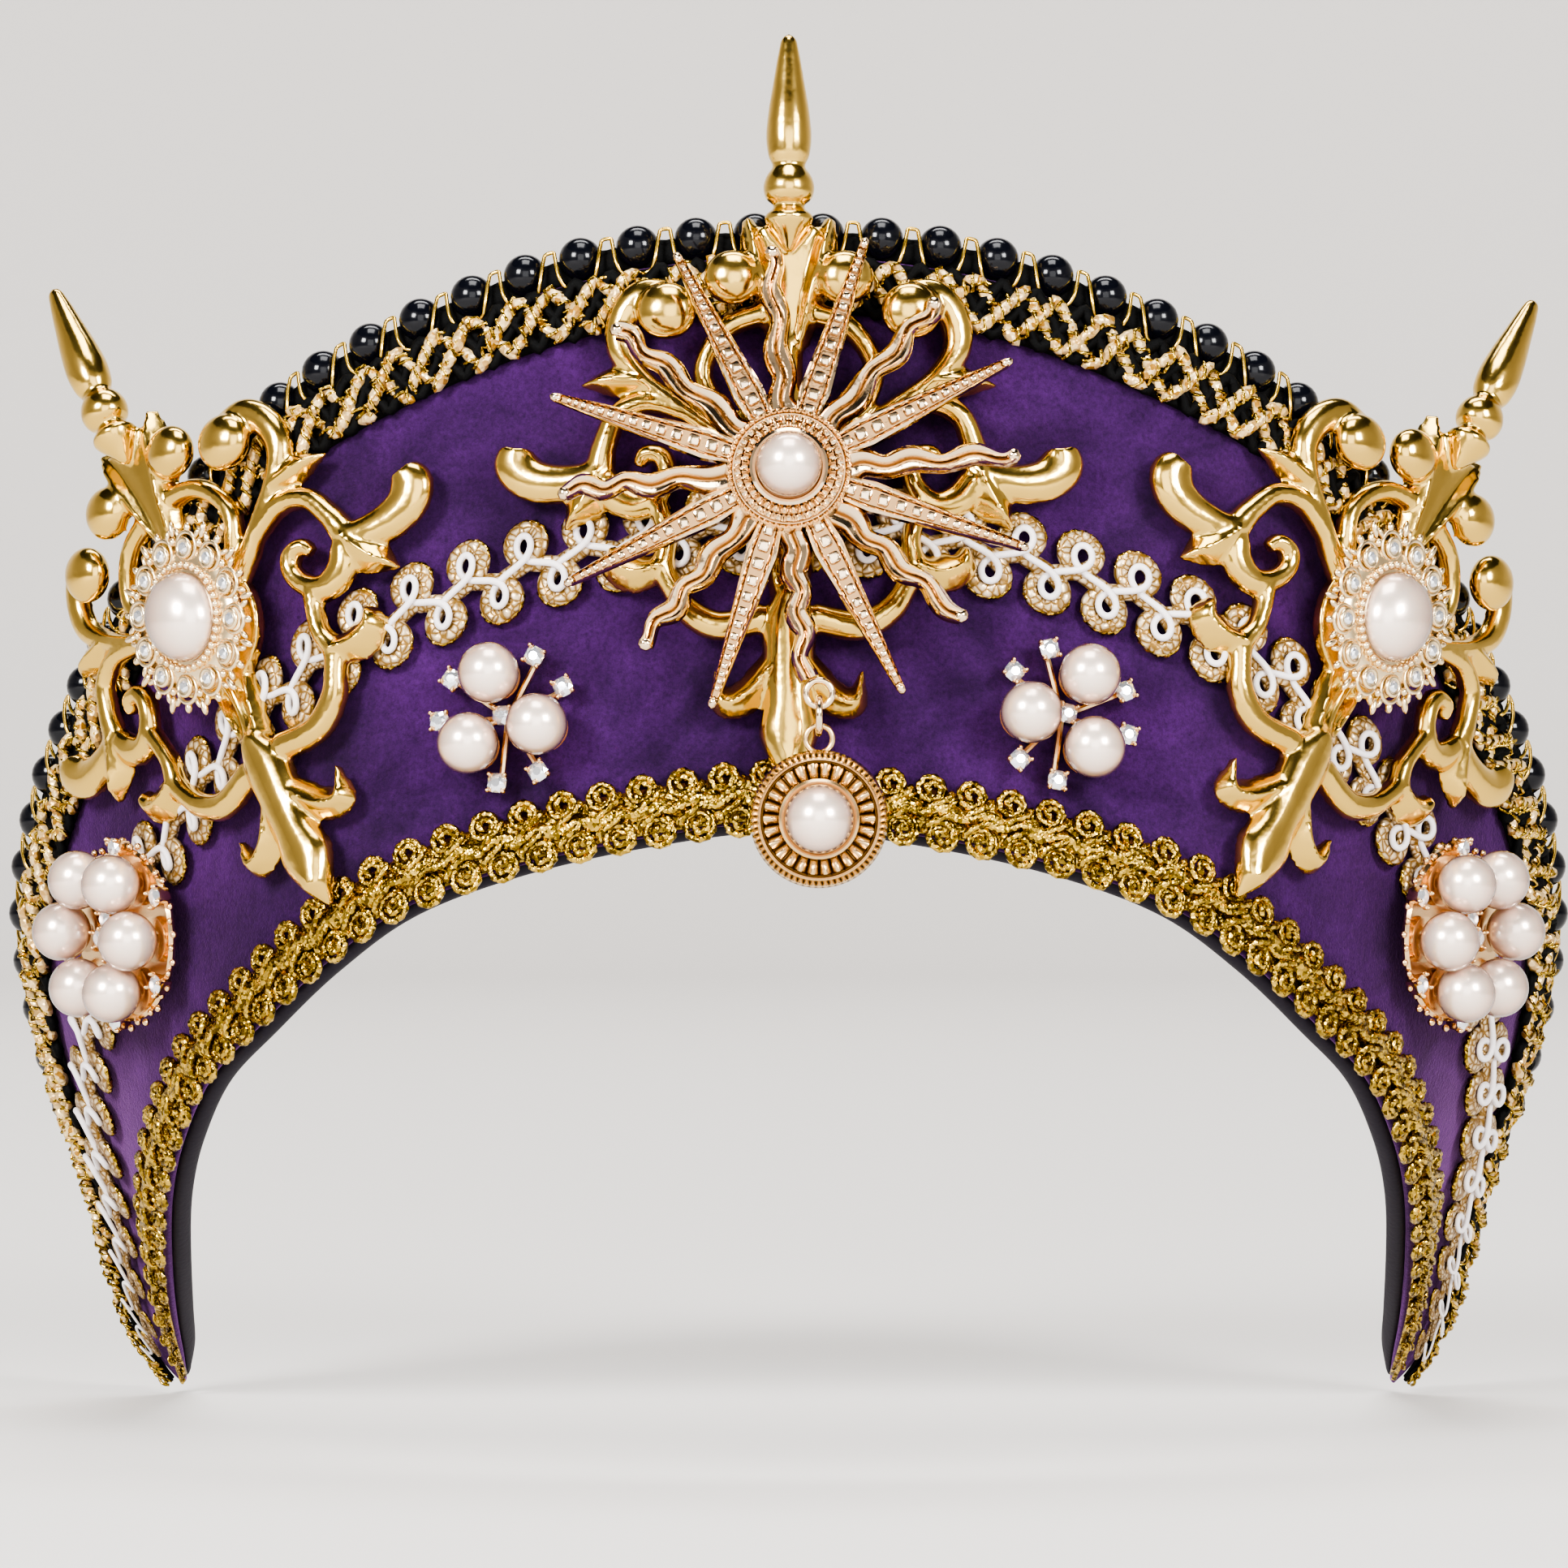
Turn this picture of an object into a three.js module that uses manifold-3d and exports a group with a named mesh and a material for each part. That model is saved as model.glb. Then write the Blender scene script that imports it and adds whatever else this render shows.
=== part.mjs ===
// Velvet halo tiara with gold filigree, a sunburst, a pearl pendant and pearl jewels.
// Millimetres, +Z up, the wearer faces -Y. The origin is the middle of the head opening.
import * as THREE from 'three';
import { mergeVertices } from 'three/addons/utils/BufferGeometryUtils.js';
import Module from 'manifold-3d';

// The stations are measured from the middle of the front, low on the brow
const HEAD_CENTER = new THREE.Vector3(0, 48, -45);

// Right half of the band, front to tip: a point on the lower edge and one on the bead line
const STATIONS = [
  { low: [0, 0, -5.8], high: [0, 10, 73.4] },
  { low: [18, 1, -7.8], high: [25.2, 12, 70.8] },
  { low: [36.4, 4, -12], high: [45.8, 17, 64] },
  { low: [50, 7, -17.2], high: [66.4, 25, 53.3] },
  { low: [60, 13, -24.2], high: [83, 37, 37.2] },
  { low: [69, 21, -32.4], high: [95, 51, 18] },
  { low: [76, 30, -39.5], high: [104, 64, -2] },
  { low: [80.5, 40, -48], high: [106.8, 73, -17] },
  { low: [83, 50, -55.5], high: [105.2, 82, -33] },
  { low: [84.6, 65, -65.5], high: [99.5, 90.5, -54] },
  { low: [85, 80, -75], high: [95.5, 97, -74] },
  { low: [84.4, 95, -84], high: [89.5, 100, -87] },
];

// Band walls
const GAP = 0.3;
const SHELL_THICKNESS = 2.2;
const LINING_THICKNESS = 1;
const LINING_GAP = 0.5;
const BAND_SEGMENTS = 44;
const SHELL_ROWS = 2;
const LINING_INSET = 1.2;
const LEAST_HEIGHT = 0.8;

// Trims, all laid on the velvet
const TRIM_THICKNESS = 2;
const BOTTOM_GIMP_WIDTH = 9.7;
const MIDDLE_GIMP_WIDTH = 12;
const MIDDLE_GIMP_RISE = 0.8;
const MIDDLE_GIMP_END = 0.95;
const BRAID_WIDTH = 8;
const TRIM_STEP = 9.5;
const TRIM_BEVEL = 0.8;
const TRIM_END = 0.985;
const FULL_TRIM_HEIGHT = 38;
const TIP_HEIGHT = 6;

// Beads along the upper edge
const BEAD_RADIUS = 2.6;
const BEAD_PITCH = 7.55;
const BEAD_ROW = 2 * BEAD_RADIUS + 0.4;
const BEAD_START = 0.002;
const BEAD_END = 0.79;
const BEAD_SIDES = 10;
const BEAD_BELLY = 0.4 * BEAD_RADIUS;
const THREAD_RADIUS = 0.7;

// Cast filigree ornament, drawn flat with its centre at 0, 0
const ORNAMENT_LIFT = GAP + TRIM_THICKNESS + GAP;
const PLATE_RADIUS = 9;
const PLATE_THICKNESS = 1.8;
const ORNAMENT_CORE = 3.2;
const STEM_HEIGHT = 2.4;
const LEAF_HEIGHT = 2.8;
const BALL_HEIGHT = 5;
const SHEATH_HEIGHT = 3;
// A stroke is as tall as its own width allows
const EDGE_HEIGHT = 0.6;
const DOME_RATIO = 1.4;
const CENTER_ORNAMENT = { s: 0, up: 46.8, turn: 0 };
const RIGHT_ORNAMENT = { s: 0.348, up: 47.8, turn: THREE.MathUtils.degToRad(-4.5) };
const LEFT_ORNAMENT = { s: -0.348, up: 47.8, turn: THREE.MathUtils.degToRad(2) };

// Half of the ornament: strokes through x, y and half-width
const STROKES = [
  { height: LEAF_HEIGHT, steps: 4, path: [[1.2, 15, 1.2], [2.6, 22, 2], [4.2, 28, 2], [5.4, 31.4, 0.5]] },
  { height: STEM_HEIGHT, steps: 4, path: [[2, 19.5, 1.4], [7.6, 17.4, 1.3], [10.7, 11.6, 1.2], [7, 4, 1.4]] },
  { height: STEM_HEIGHT, steps: 6, path: [[14.6, 22.4, 1.5], [18.5, 21.8, 1.9], [20.8, 18.6, 1.9],
    [21, 14.8, 1.7], [18.2, 11, 1.3], [14.2, 7.8, 1.3], [9, 4, 1.5], [4, 2, 1.8]] },
  { height: LEAF_HEIGHT, steps: 2, path: [[18.6, 10.6, 1.5], [22, 10.8, 1.8], [26, 10.4, 0.2]] },
  { height: STEM_HEIGHT, steps: 7, path: [[12, 6.2, 1.3], [17.8, 7.9, 1.4], [21.4, 6.4, 1.4],
    [23.2, 2.4, 1.5], [24.2, -1, 1.8], [29, -2.2, 2.3], [33, -1.3, 2.6], [34.6, 0.6, 2.6],
    [34.4, 2.6, 1.8]] },
  { height: LEAF_HEIGHT, steps: 2, path: [[23.6, -0.6, 1.6], [25.4, -4.4, 2.6], [28.2, -8.4, 0.2]] },
  { height: STEM_HEIGHT, steps: 5, path: [[23, -1.8, 1.6], [21.4, -4.4, 1.9], [18.6, -5.4, 1.6],
    [16.2, -3.6, 1.3], [15.2, -1, 1.2], [16, 1, 1.2], [18, 1.2, 0.9]] },
  { height: STEM_HEIGHT, steps: 6, path: [[16.8, -4.2, 1.3], [15.7, -7.6, 1.1], [15.2, -10.4, 1.2],
    [15.7, -13.4, 1.4], [14.4, -16.4, 1.4], [12.8, -18.8, 1.5], [9, -21, 1.7], [3, -20, 1.8]] },
  { height: LEAF_HEIGHT, steps: 3, path: [[15.8, -13.2, 1.4], [19, -14, 2.3], [21.6, -13, 2],
    [22, -10.8, 0.6]] },
  { height: LEAF_HEIGHT, steps: 3, path: [[1.6, -25.4, 1.8], [5.2, -30, 2.1], [8, -31, 1.7], [9, -27, 0.3]] },
  { height: LEAF_HEIGHT, steps: 2, path: [[1.2, -17.5, 1.2], [2, -12.5, 1.2], [2.8, -7.5, 1]] },
];
// Strokes on the ornament's own axis: the sheath under the spike, and the spear
const AXIS_STROKES = [
  { height: SHEATH_HEIGHT, steps: 3, path: [[0, 5, 1.8], [0, 17, 1.8], [0, 27, 2.8], [0, 31.6, 2]] },
  { height: ORNAMENT_CORE, steps: 7, path: [[0, -5, 2], [0, -11, 1.1], [0, -15.5, 1.3], [0, -20, 3.1],
    [0, -31, 3], [0, -35, 3.5], [0, -38.6, 2.2], [0, -42.2, 0.2]] },
];
const BALLS = [{ x: 6.9, y: 23.6, radius: 3.55 }, { x: 15, y: 19.4, radius: 3.7 }];
const BALL_SIDES = 6;
const PLATE_SIDES = 12;
// Spike turned about its axis: radius and height
const SPIKE = [[0, 29.6], [3, 29.8], [1.8, 32.6], [3.15, 35.1], [2, 37.8], [2.8, 41.6], [1.1, 53.6],
  [0, 55]];
const SPIKE_SIDES = 6;
const WALK_STEP = 2;

// Sunburst over the middle ornament
const SUN = { s: 0, up: 44.3, lift: 11 };
const SUN_LEAN = THREE.MathUtils.degToRad(1);
const RAY_FALL = 0.05;
const RAY_PAIRS = 8;
const STRAIGHT_RAY = { from: 5, to: 31, turn: -18, wide: 1.8, narrow: 0.45 };
const WAVY_RAY = { from: 5, to: 28.5, turn: 4.5, wide: 1.5, narrow: 0.7, sway: 0.75 };
const WAVES = 2.5;
const RAY_HEIGHT = 1.6;
const ROOT_WIDTH = 0.7 * STRAIGHT_RAY.wide;
const RAY_SHOULDER = STRAIGHT_RAY.from + 6;
const BOSS_RADIUS = 5.5;
const BEZEL_TOP = 2.8;
// Bezel turned about its axis: radius and level
const BEZEL = [[BOSS_RADIUS, -0.8], [8, -0.8], [8, 1.6], [4.65, BEZEL_TOP], [0, BEZEL_TOP]];
const BEZEL_SIDES = 14;
const SUN_PEARL_RADIUS = 4.15;
const SUN_PEARL_BACK = 1.6;

// Pendant: cast loop on the lowest ray, jump ring, and the drop with its bail
const LOOP = { radius: 1.65, wire: 0.45 };
const JUMP = { radius: 2.2, wire: 0.45 };
const BAIL = { radius: 1.7, wire: 0.35 };
const WIRE_SIDES = 5;
const RING_SIDES = 12;
const DROP_X = 3.8;
const LOOP_Z = 11.4;
const DROP_RADIUS = 8.7;
const DROP_FACE = 1.2;
// Drop turned about its axis: radius and level, with a raised rim and a raised collar
const DROP = [[0, -DROP_FACE], [8.2, -DROP_FACE], [DROP_RADIUS, 0], [8.1, DROP_FACE], [7.1, DROP_FACE],
  [6.7, 0.3], [5.35, 0.1], [4.95, DROP_FACE], [0, DROP_FACE]];
const DROP_SIDES = 16;
const DROP_PEARL_RADIUS = 4.35;
const DROP_PEARL_BACK = 1.2;

// Brooches on the side ornaments
const BROOCH_RADIUS = 12.2;
const BROOCH_POINT = 1;
// Width of a brooch as a share of its height
const BROOCH_OVAL = 0.9;
const BROOCH_OFFSET = 1.9;
const BROOCH_THICKNESS = 1.2;
const BROOCH_STONES = 12;
const BROOCH_STONE_RING = 9.7;
const BROOCH_STONE_RADIUS = 1.9;
const BROOCH_STONE_SINK = 0.3;
const BROOCH_PEARL_RADIUS = 6.1;
const BROOCH_PEARL_DOME = 0.75;

// Pearl sprays and clusters
const PEARL_RADIUS = 3.95;
const PEARL_SIDES = 10;
const PEARL_RINGS = 4;
const CUP_HEIGHT = 1.2;
const CUP_RADIUS = 2.6;
const STONE_RADIUS = 1.65;
const STONE_HEIGHT = 2.6;
const STONE_SIDES = 8;
const STONE_TABLE = 0.6;
const TREFOIL = { up: 19.8, turn: THREE.MathUtils.degToRad(76), pearlRing: 5.4, stoneRing: 8.6 };
const RIGHT_TREFOIL = { s: 0.161, turn: 0 };
const LEFT_TREFOIL = { s: -0.166, turn: THREE.MathUtils.degToRad(-14) };
const TREFOIL_NOTCH = 2.2;
const STAR_THICKNESS = CUP_HEIGHT - 0.3;
const CUP_SIDES = 6;
const TREFOIL_STONE_SPREAD = THREE.MathUtils.degToRad(19);
const CLUSTER = { s: 0.516, up: 25, pearls: 6, pearlRing: 8.3, plateRadius: 11, rimRing: 11.6 };
const CLUSTER_TURN = THREE.MathUtils.degToRad(21);
const CLUSTER_STONE_RING = 2.2;
const CLUSTER_STONES = 4;
const CLUSTER_STONE_RISE = 1;

const wasm = await Module();
wasm.setup();

// Materials by finish
function finish(color, roughness, metalness) {
  return () => new THREE.MeshStandardMaterial({ color, roughness, metalness });
}
const velvet = finish('#54346d', 0.95, 0);
const lining = finish('#1d1326', 0.9, 0);
const goldThread = finish('#9c784d', 0.5, 0.6);
const creamThread = finish('#cdb48a', 0.6, 0.3);
const blackBead = finish('#14161f', 0.15, 0);
const gold = finish('#e0bb6c', 0.2, 1);
const paleGold = finish('#e3c9a4', 0.25, 1);
const pearl = finish('#e2dde0', 0.2, 0);

// Closed surfaces
function bare(geometry) {
  const copy = geometry.clone();
  copy.deleteAttribute('normal');
  copy.deleteAttribute('uv');
  return mergeVertices(copy, 1e-4);
}

function signedVolume(geometry) {
  const position = geometry.getAttribute('position');
  const corner = (k) => new THREE.Vector3().fromBufferAttribute(position, geometry.index.getX(k));
  let sum = 0;
  for (let k = 0; k < geometry.index.count; k += 3) {
    sum += corner(k).dot(corner(k + 1).cross(corner(k + 2)));
  }
  return sum / 6;
}

function facingOut(geometry) {
  if (signedVolume(geometry) < 0) {
    const index = Array.from(geometry.index.array).reverse();
    geometry.setIndex(index);
  }
  return geometry;
}

// A closed skin over rings of points, with flat ends
function loft(rings) {
  const sides = rings[0].length;
  const index = [];
  for (let ring = 0; ring + 1 < rings.length; ring += 1) {
    for (let side = 0; side < sides; side += 1) {
      const here = ring * sides + side;
      const next = ring * sides + (side + 1) % sides;
      index.push(here, next, next + sides, here, next + sides, here + sides);
    }
  }
  const last = (rings.length - 1) * sides;
  for (let side = 1; side + 1 < sides; side += 1) {
    index.push(0, side + 1, side, last, last + side, last + side + 1);
  }
  const geometry = new THREE.BufferGeometry().setFromPoints(rings.flat());
  geometry.setIndex(index);
  return facingOut(geometry);
}

function solid(geometry) {
  const closed = facingOut(bare(geometry));
  const vertProperties = new Float32Array(closed.getAttribute('position').array);
  const triVerts = new Uint32Array(closed.index.array);
  return new wasm.Manifold(new wasm.Mesh({ numProp: 3, vertProperties, triVerts }));
}

function joined(geometries) {
  const mesh = geometries.map(solid).reduce((whole, piece) => whole.add(piece)).getMesh();
  const geometry = new THREE.BufferGeometry();
  geometry.setAttribute('position', new THREE.BufferAttribute(new Float32Array(mesh.vertProperties), 3));
  geometry.setIndex(Array.from(mesh.triVerts));
  return geometry;
}

function mirrored(geometry) {
  const copy = geometry.index ? geometry.clone() : mergeVertices(geometry);
  copy.applyMatrix4(new THREE.Matrix4().makeScale(-1, 1, 1));
  return facingOut(copy);
}

// The band as a surface: s runs from the left tip at -1 to the right tip at 1,
// up is the distance above the lower edge, and lift the distance out of the velvet
function rail(edge) {
  const right = STATIONS.map((station) => new THREE.Vector3(...station[edge]));
  const left = right.slice(1).reverse().map((point) => new THREE.Vector3(-point.x, point.y, point.z));
  return new THREE.CatmullRomCurve3([...left, ...right]);
}
const lowRail = rail('low');
const highRail = rail('high');

function onRail(curve, s) {
  return curve.getPoint(THREE.MathUtils.clamp((s + 1) / 2, 0, 1));
}

function bandHeight(s) {
  return onRail(highRail, s).distanceTo(onRail(lowRail, s));
}

function skinPoint(s, up) {
  const low = onRail(lowRail, s);
  const ruling = onRail(highRail, s).sub(low).normalize();
  return low.addScaledVector(ruling, up);
}

// Directions on the skin: along the band, up the ruling, square to it and out of the velvet
function bandFrame(s, up) {
  const before = Math.max(-1, s - 0.002);
  const after = Math.min(1, s + 0.002);
  const along = skinPoint(after, up).sub(skinPoint(before, up));
  const speed = along.length() / (after - before);
  along.normalize();
  const ruling = onRail(highRail, s).sub(onRail(lowRail, s)).normalize();
  const normal = along.clone().cross(ruling).normalize();
  const across = normal.clone().cross(along);
  return { along, ruling, across, normal, speed };
}

function bandPoint(s, up, lift) {
  return skinPoint(s, up).addScaledVector(bandFrame(s, up).normal, lift);
}

// Walk straight over the skin from an anchor, so that a flat drawing wraps without stretching
function wrapPoint(anchor, x, y, lift) {
  const steps = Math.max(1, Math.ceil(Math.hypot(x, y) / WALK_STEP));
  const step = Math.hypot(x, y) / steps;
  const heading = Math.atan2(y, x) + anchor.turn;
  let { s, up } = anchor;
  const start = bandFrame(s, up);
  const way = start.along.clone().multiplyScalar(Math.cos(heading));
  way.addScaledVector(start.across, Math.sin(heading));
  for (let k = 0; k < steps; k += 1) {
    const { along, ruling, normal, speed } = bandFrame(s, up);
    way.addScaledVector(normal, -way.dot(normal)).normalize();
    const skew = along.dot(ruling);
    const square = 1 - skew * skew;
    s += (way.dot(along) - skew * way.dot(ruling)) / square * step / speed;
    up += (way.dot(ruling) - skew * way.dot(along)) / square * step;
  }
  return bandPoint(s, up, lift);
}

function wrapped(geometry, anchor, lift) {
  const copy = geometry.clone();
  const position = copy.getAttribute('position');
  for (let k = 0; k < position.count; k += 1) {
    const point = wrapPoint(anchor, position.getX(k), position.getY(k), lift + position.getZ(k));
    position.setXYZ(k, point.x, point.y, point.z);
  }
  return facingOut(copy);
}

// Stations at even distances along the band, at the height that upAt gives
function evenly(from, to, count, upAt) {
  const fine = 300;
  const marks = [{ s: from, run: 0 }];
  for (let k = 1; k <= fine; k += 1) {
    const s = from + (to - from) * k / fine;
    const before = marks[k - 1];
    const step = skinPoint(s, upAt(s)).distanceTo(skinPoint(before.s, upAt(before.s)));
    marks.push({ s, run: before.run + step });
  }
  const total = marks[fine].run;
  return Array.from({ length: count + 1 }, (_, k) => {
    const run = total * k / count;
    const after = Math.max(1, marks.findIndex((mark) => mark.run >= run - 1e-6));
    const [a, b] = [marks[after - 1], marks[after]];
    return a.s + (b.s - a.s) * (run - a.run) / (b.run - a.run);
  });
}

function runLength(from, to, upAt) {
  const fine = evenly(from, to, 200, upAt).map((s) => skinPoint(s, upAt(s)));
  return fine.slice(1).reduce((sum, point, k) => sum + point.distanceTo(fine[k]), 0);
}

// Velvet wall and lining: sheets of the band between two lifts
function bandSheet(rows, bottom, topInset, outer, inner) {
  const stations = evenly(-1, 1, BAND_SEGMENTS, (s) => bandHeight(s) / 2);
  const rings = stations.map((s) => {
    const top = Math.max(bandHeight(s) - topInset, bottom + LEAST_HEIGHT);
    const levels = Array.from({ length: rows + 1 }, (_, k) => bottom + (top - bottom) * k / rows);
    const front = levels.map((up) => bandPoint(s, up, outer));
    const back = levels.map((up) => bandPoint(s, up, inner)).reverse();
    return [...front, ...back];
  });
  return loft(rings);
}

// The trims share the height of the band, and narrow together towards the tips
function trimScale(s) {
  return Math.min(1, (bandHeight(s) - TIP_HEIGHT) / (FULL_TRIM_HEIGHT - TIP_HEIGHT));
}

function bottomGimpEdges(s) {
  return { low: 0, high: BOTTOM_GIMP_WIDTH * trimScale(s) };
}

function braidEdges(s) {
  const high = bandHeight(s) - BEAD_ROW;
  return { low: high - BRAID_WIDTH * trimScale(s), high };
}

function middleGimpEdges(s) {
  const floor = bottomGimpEdges(s).high + 2 * GAP;
  const ceiling = braidEdges(s).low - 2 * GAP;
  const half = Math.min(MIDDLE_GIMP_WIDTH, ceiling - floor - 2 * MIDDLE_GIMP_RISE * trimScale(s)) / 2;
  const middle = (floor + ceiling) / 2 + MIDDLE_GIMP_RISE * trimScale(s);
  return { low: middle - half, high: middle + half };
}

// A woven trim, laid as one band with bevelled edges
function trim(edges, end) {
  const middle = (s) => (edges(s).low + edges(s).high) / 2;
  const steps = Math.round(runLength(-end, end, middle) / TRIM_STEP);
  const rings = evenly(-end, end, steps, middle).map((s) => {
    const { low, high } = edges(s);
    const bevel = Math.min(TRIM_BEVEL, (high - low) / 8);
    return [
      bandPoint(s, low, GAP),
      bandPoint(s, high, GAP),
      bandPoint(s, high - bevel, GAP + TRIM_THICKNESS),
      bandPoint(s, low + bevel, GAP + TRIM_THICKNESS),
    ];
  });
  return loft(rings);
}

// Half of the bead row, threaded on one core, from the middle to the tip
function beadString() {
  const beadUp = (s) => bandHeight(s) - BEAD_RADIUS;
  const length = runLength(BEAD_START, BEAD_END, beadUp);
  const beads = Math.round(length / BEAD_PITCH);
  const halfPitch = length / beads / 2;
  const ringAt = (s, shift, radius) => {
    const { along, across, normal } = bandFrame(s, beadUp(s));
    const center = bandPoint(s, beadUp(s), -SHELL_THICKNESS / 2).addScaledVector(along, shift);
    return onRing(BEAD_SIDES, radius, 0)
      .map(({ x, y }) => center.clone().addScaledVector(across, x).addScaledVector(normal, y));
  };
  const centers = evenly(BEAD_START, BEAD_END, 2 * beads, beadUp).filter((_, k) => k % 2 === 1);
  const rings = centers.flatMap((s) => [
    ringAt(s, -halfPitch, THREAD_RADIUS),
    ringAt(s, -BEAD_BELLY, BEAD_RADIUS),
    ringAt(s, BEAD_BELLY, BEAD_RADIUS),
  ]);
  rings.push(ringAt(centers.at(-1), halfPitch, THREAD_RADIUS));
  return loft(rings);
}

// A stroke of cast metal: a curve on the flat drawing with a domed section
function stroke({ path, height, steps }) {
  const curve = new THREE.CatmullRomCurve3(path.map((point) => new THREE.Vector3(...point)));
  const rings = Array.from({ length: steps + 1 }, (_, k) => {
    const { x, y, z: half } = curve.getPoint(k / steps);
    const way = curve.getTangent(k / steps).setZ(0).normalize();
    const tall = Math.min(height, EDGE_HEIGHT + DOME_RATIO * half);
    const section = [[-1, 0], [0, 1], [1, 0]];
    return section.map(([side, rise]) => new THREE.Vector3(
      x - way.y * side * half,
      y + way.x * side * half,
      rise * tall,
    ));
  });
  return loft(rings);
}

function ball({ x, y, radius }) {
  const geometry = new THREE.SphereGeometry(radius, BALL_SIDES, BALL_SIDES / 2 + 1);
  geometry.rotateX(Math.PI / 2);
  geometry.scale(1, 1, BALL_HEIGHT / 2 / radius);
  return geometry.translate(x, y, BALL_HEIGHT / 2);
}

function turned(profile, sides) {
  return new THREE.LatheGeometry(profile.map(([radius, level]) => new THREE.Vector2(radius, level)), sides);
}

function disc(radius, thickness, sides) {
  const geometry = new THREE.CylinderGeometry(radius, radius, thickness, sides);
  return geometry.rotateX(Math.PI / 2).translate(0, 0, thickness / 2);
}

function filigree() {
  const half = [...STROKES.map(stroke), ...BALLS.map(ball)];
  const widest = Math.max(...SPIKE.map(([radius]) => radius));
  return joined([
    disc(PLATE_RADIUS, PLATE_THICKNESS, PLATE_SIDES),
    turned(SPIKE, SPIKE_SIDES).translate(0, 0, widest),
    ...AXIS_STROKES.map(stroke),
    ...half,
    ...half.map(mirrored),
  ]);
}

// Rays are drawn upward from the middle and then turned to their places
function straightRay() {
  const { from, to, wide, narrow } = STRAIGHT_RAY;
  const path = [[0, from, ROOT_WIDTH], [0, RAY_SHOULDER, wide], [0, to, narrow]];
  return stroke({ height: RAY_HEIGHT, steps: 2, path });
}

function wavyRay() {
  const { from, to, wide, narrow, sway } = WAVY_RAY;
  const turns = 2 * WAVES;
  const path = Array.from({ length: turns + 1 }, (_, k) => {
    const part = k / turns;
    const side = k === 0 || k === turns ? 0 : sway * (k % 2 ? 1 : -1);
    return [side, from + (to - from) * part, wide + (narrow - wide) * part];
  });
  return stroke({ height: RAY_HEIGHT, steps: turns + 1, path });
}

// A cut stone on its collet: girdle, eight crown facets and a table
function stone(radius, height) {
  const profile = [[0, 0], [radius, 0], [STONE_TABLE * radius, height], [0, height]];
  return turned(profile, STONE_SIDES).rotateX(Math.PI / 2);
}

function ring({ radius, wire }) {
  return new THREE.TorusGeometry(radius, wire, WIRE_SIDES, RING_SIDES);
}

function pearlBall(radius) {
  return new THREE.SphereGeometry(radius, PEARL_SIDES, PEARL_RINGS).rotateX(Math.PI / 2);
}

// A half-drilled pearl with a flat back
function flatPearl(radius, back) {
  const points = [[0, -back]];
  const first = -Math.asin(back / radius);
  for (let k = 0; k < PEARL_RINGS; k += 1) {
    const angle = first + (Math.PI / 2 - first) * k / PEARL_RINGS;
    points.push([radius * Math.cos(angle), radius * Math.sin(angle)]);
  }
  points.push([0, radius]);
  return turned(points, PEARL_SIDES + 2).rotateX(Math.PI / 2);
}

function onRing(count, radius, turn) {
  return Array.from({ length: count }, (_, k) => {
    const angle = turn + 2 * Math.PI * k / count;
    return { x: radius * Math.cos(angle), y: radius * Math.sin(angle) };
  });
}

// The seat of a rigid jewel on the band, with z out of the velvet
function seat({ s, up, lift, turn = 0 }) {
  const { along, across, normal } = bandFrame(s, up);
  const matrix = new THREE.Matrix4().makeBasis(along, across, normal);
  matrix.setPosition(bandPoint(s, up, lift));
  return matrix.multiply(new THREE.Matrix4().makeRotationZ(turn));
}

const tiara = new THREE.Group();
const band = new THREE.Group();
band.position.copy(HEAD_CENTER).negate();
tiara.add(band);

function piece(name, geometry, material, parent = band) {
  const mesh = new THREE.Mesh(geometry, material());
  mesh.name = name;
  parent.add(mesh);
  return mesh;
}

function seated(place) {
  const group = new THREE.Group();
  group.applyMatrix4(seat(place));
  band.add(group);
  return group;
}

// Velvet, lining and trims
piece('velvet_shell', bandSheet(SHELL_ROWS, 0, BEAD_ROW, 0, -SHELL_THICKNESS), velvet);
const liningOuter = -SHELL_THICKNESS - LINING_GAP;
const liningInner = liningOuter - LINING_THICKNESS;
const liningTop = BEAD_ROW + LINING_INSET;
piece('inner_lining', bandSheet(SHELL_ROWS, LINING_INSET, liningTop, liningOuter, liningInner), lining);
piece('bottom_gimp', trim(bottomGimpEdges, TRIM_END), goldThread);
piece('middle_gimp', trim(middleGimpEdges, MIDDLE_GIMP_END), goldThread);
piece('top_braid', trim(braidEdges, TRIM_END), creamThread);
const rightBeads = beadString();
piece('bead_string_right', rightBeads, blackBead);
piece('bead_string_left', mirrored(rightBeads), blackBead);

// Filigree ornaments, bent to the band
const flatFiligree = filigree();
piece('filigree_center', wrapped(flatFiligree, CENTER_ORNAMENT, ORNAMENT_LIFT), gold);
piece('filigree_right', wrapped(flatFiligree, RIGHT_ORNAMENT, ORNAMENT_LIFT), gold);
piece('filigree_left', wrapped(flatFiligree, LEFT_ORNAMENT, ORNAMENT_LIFT), gold);

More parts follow.
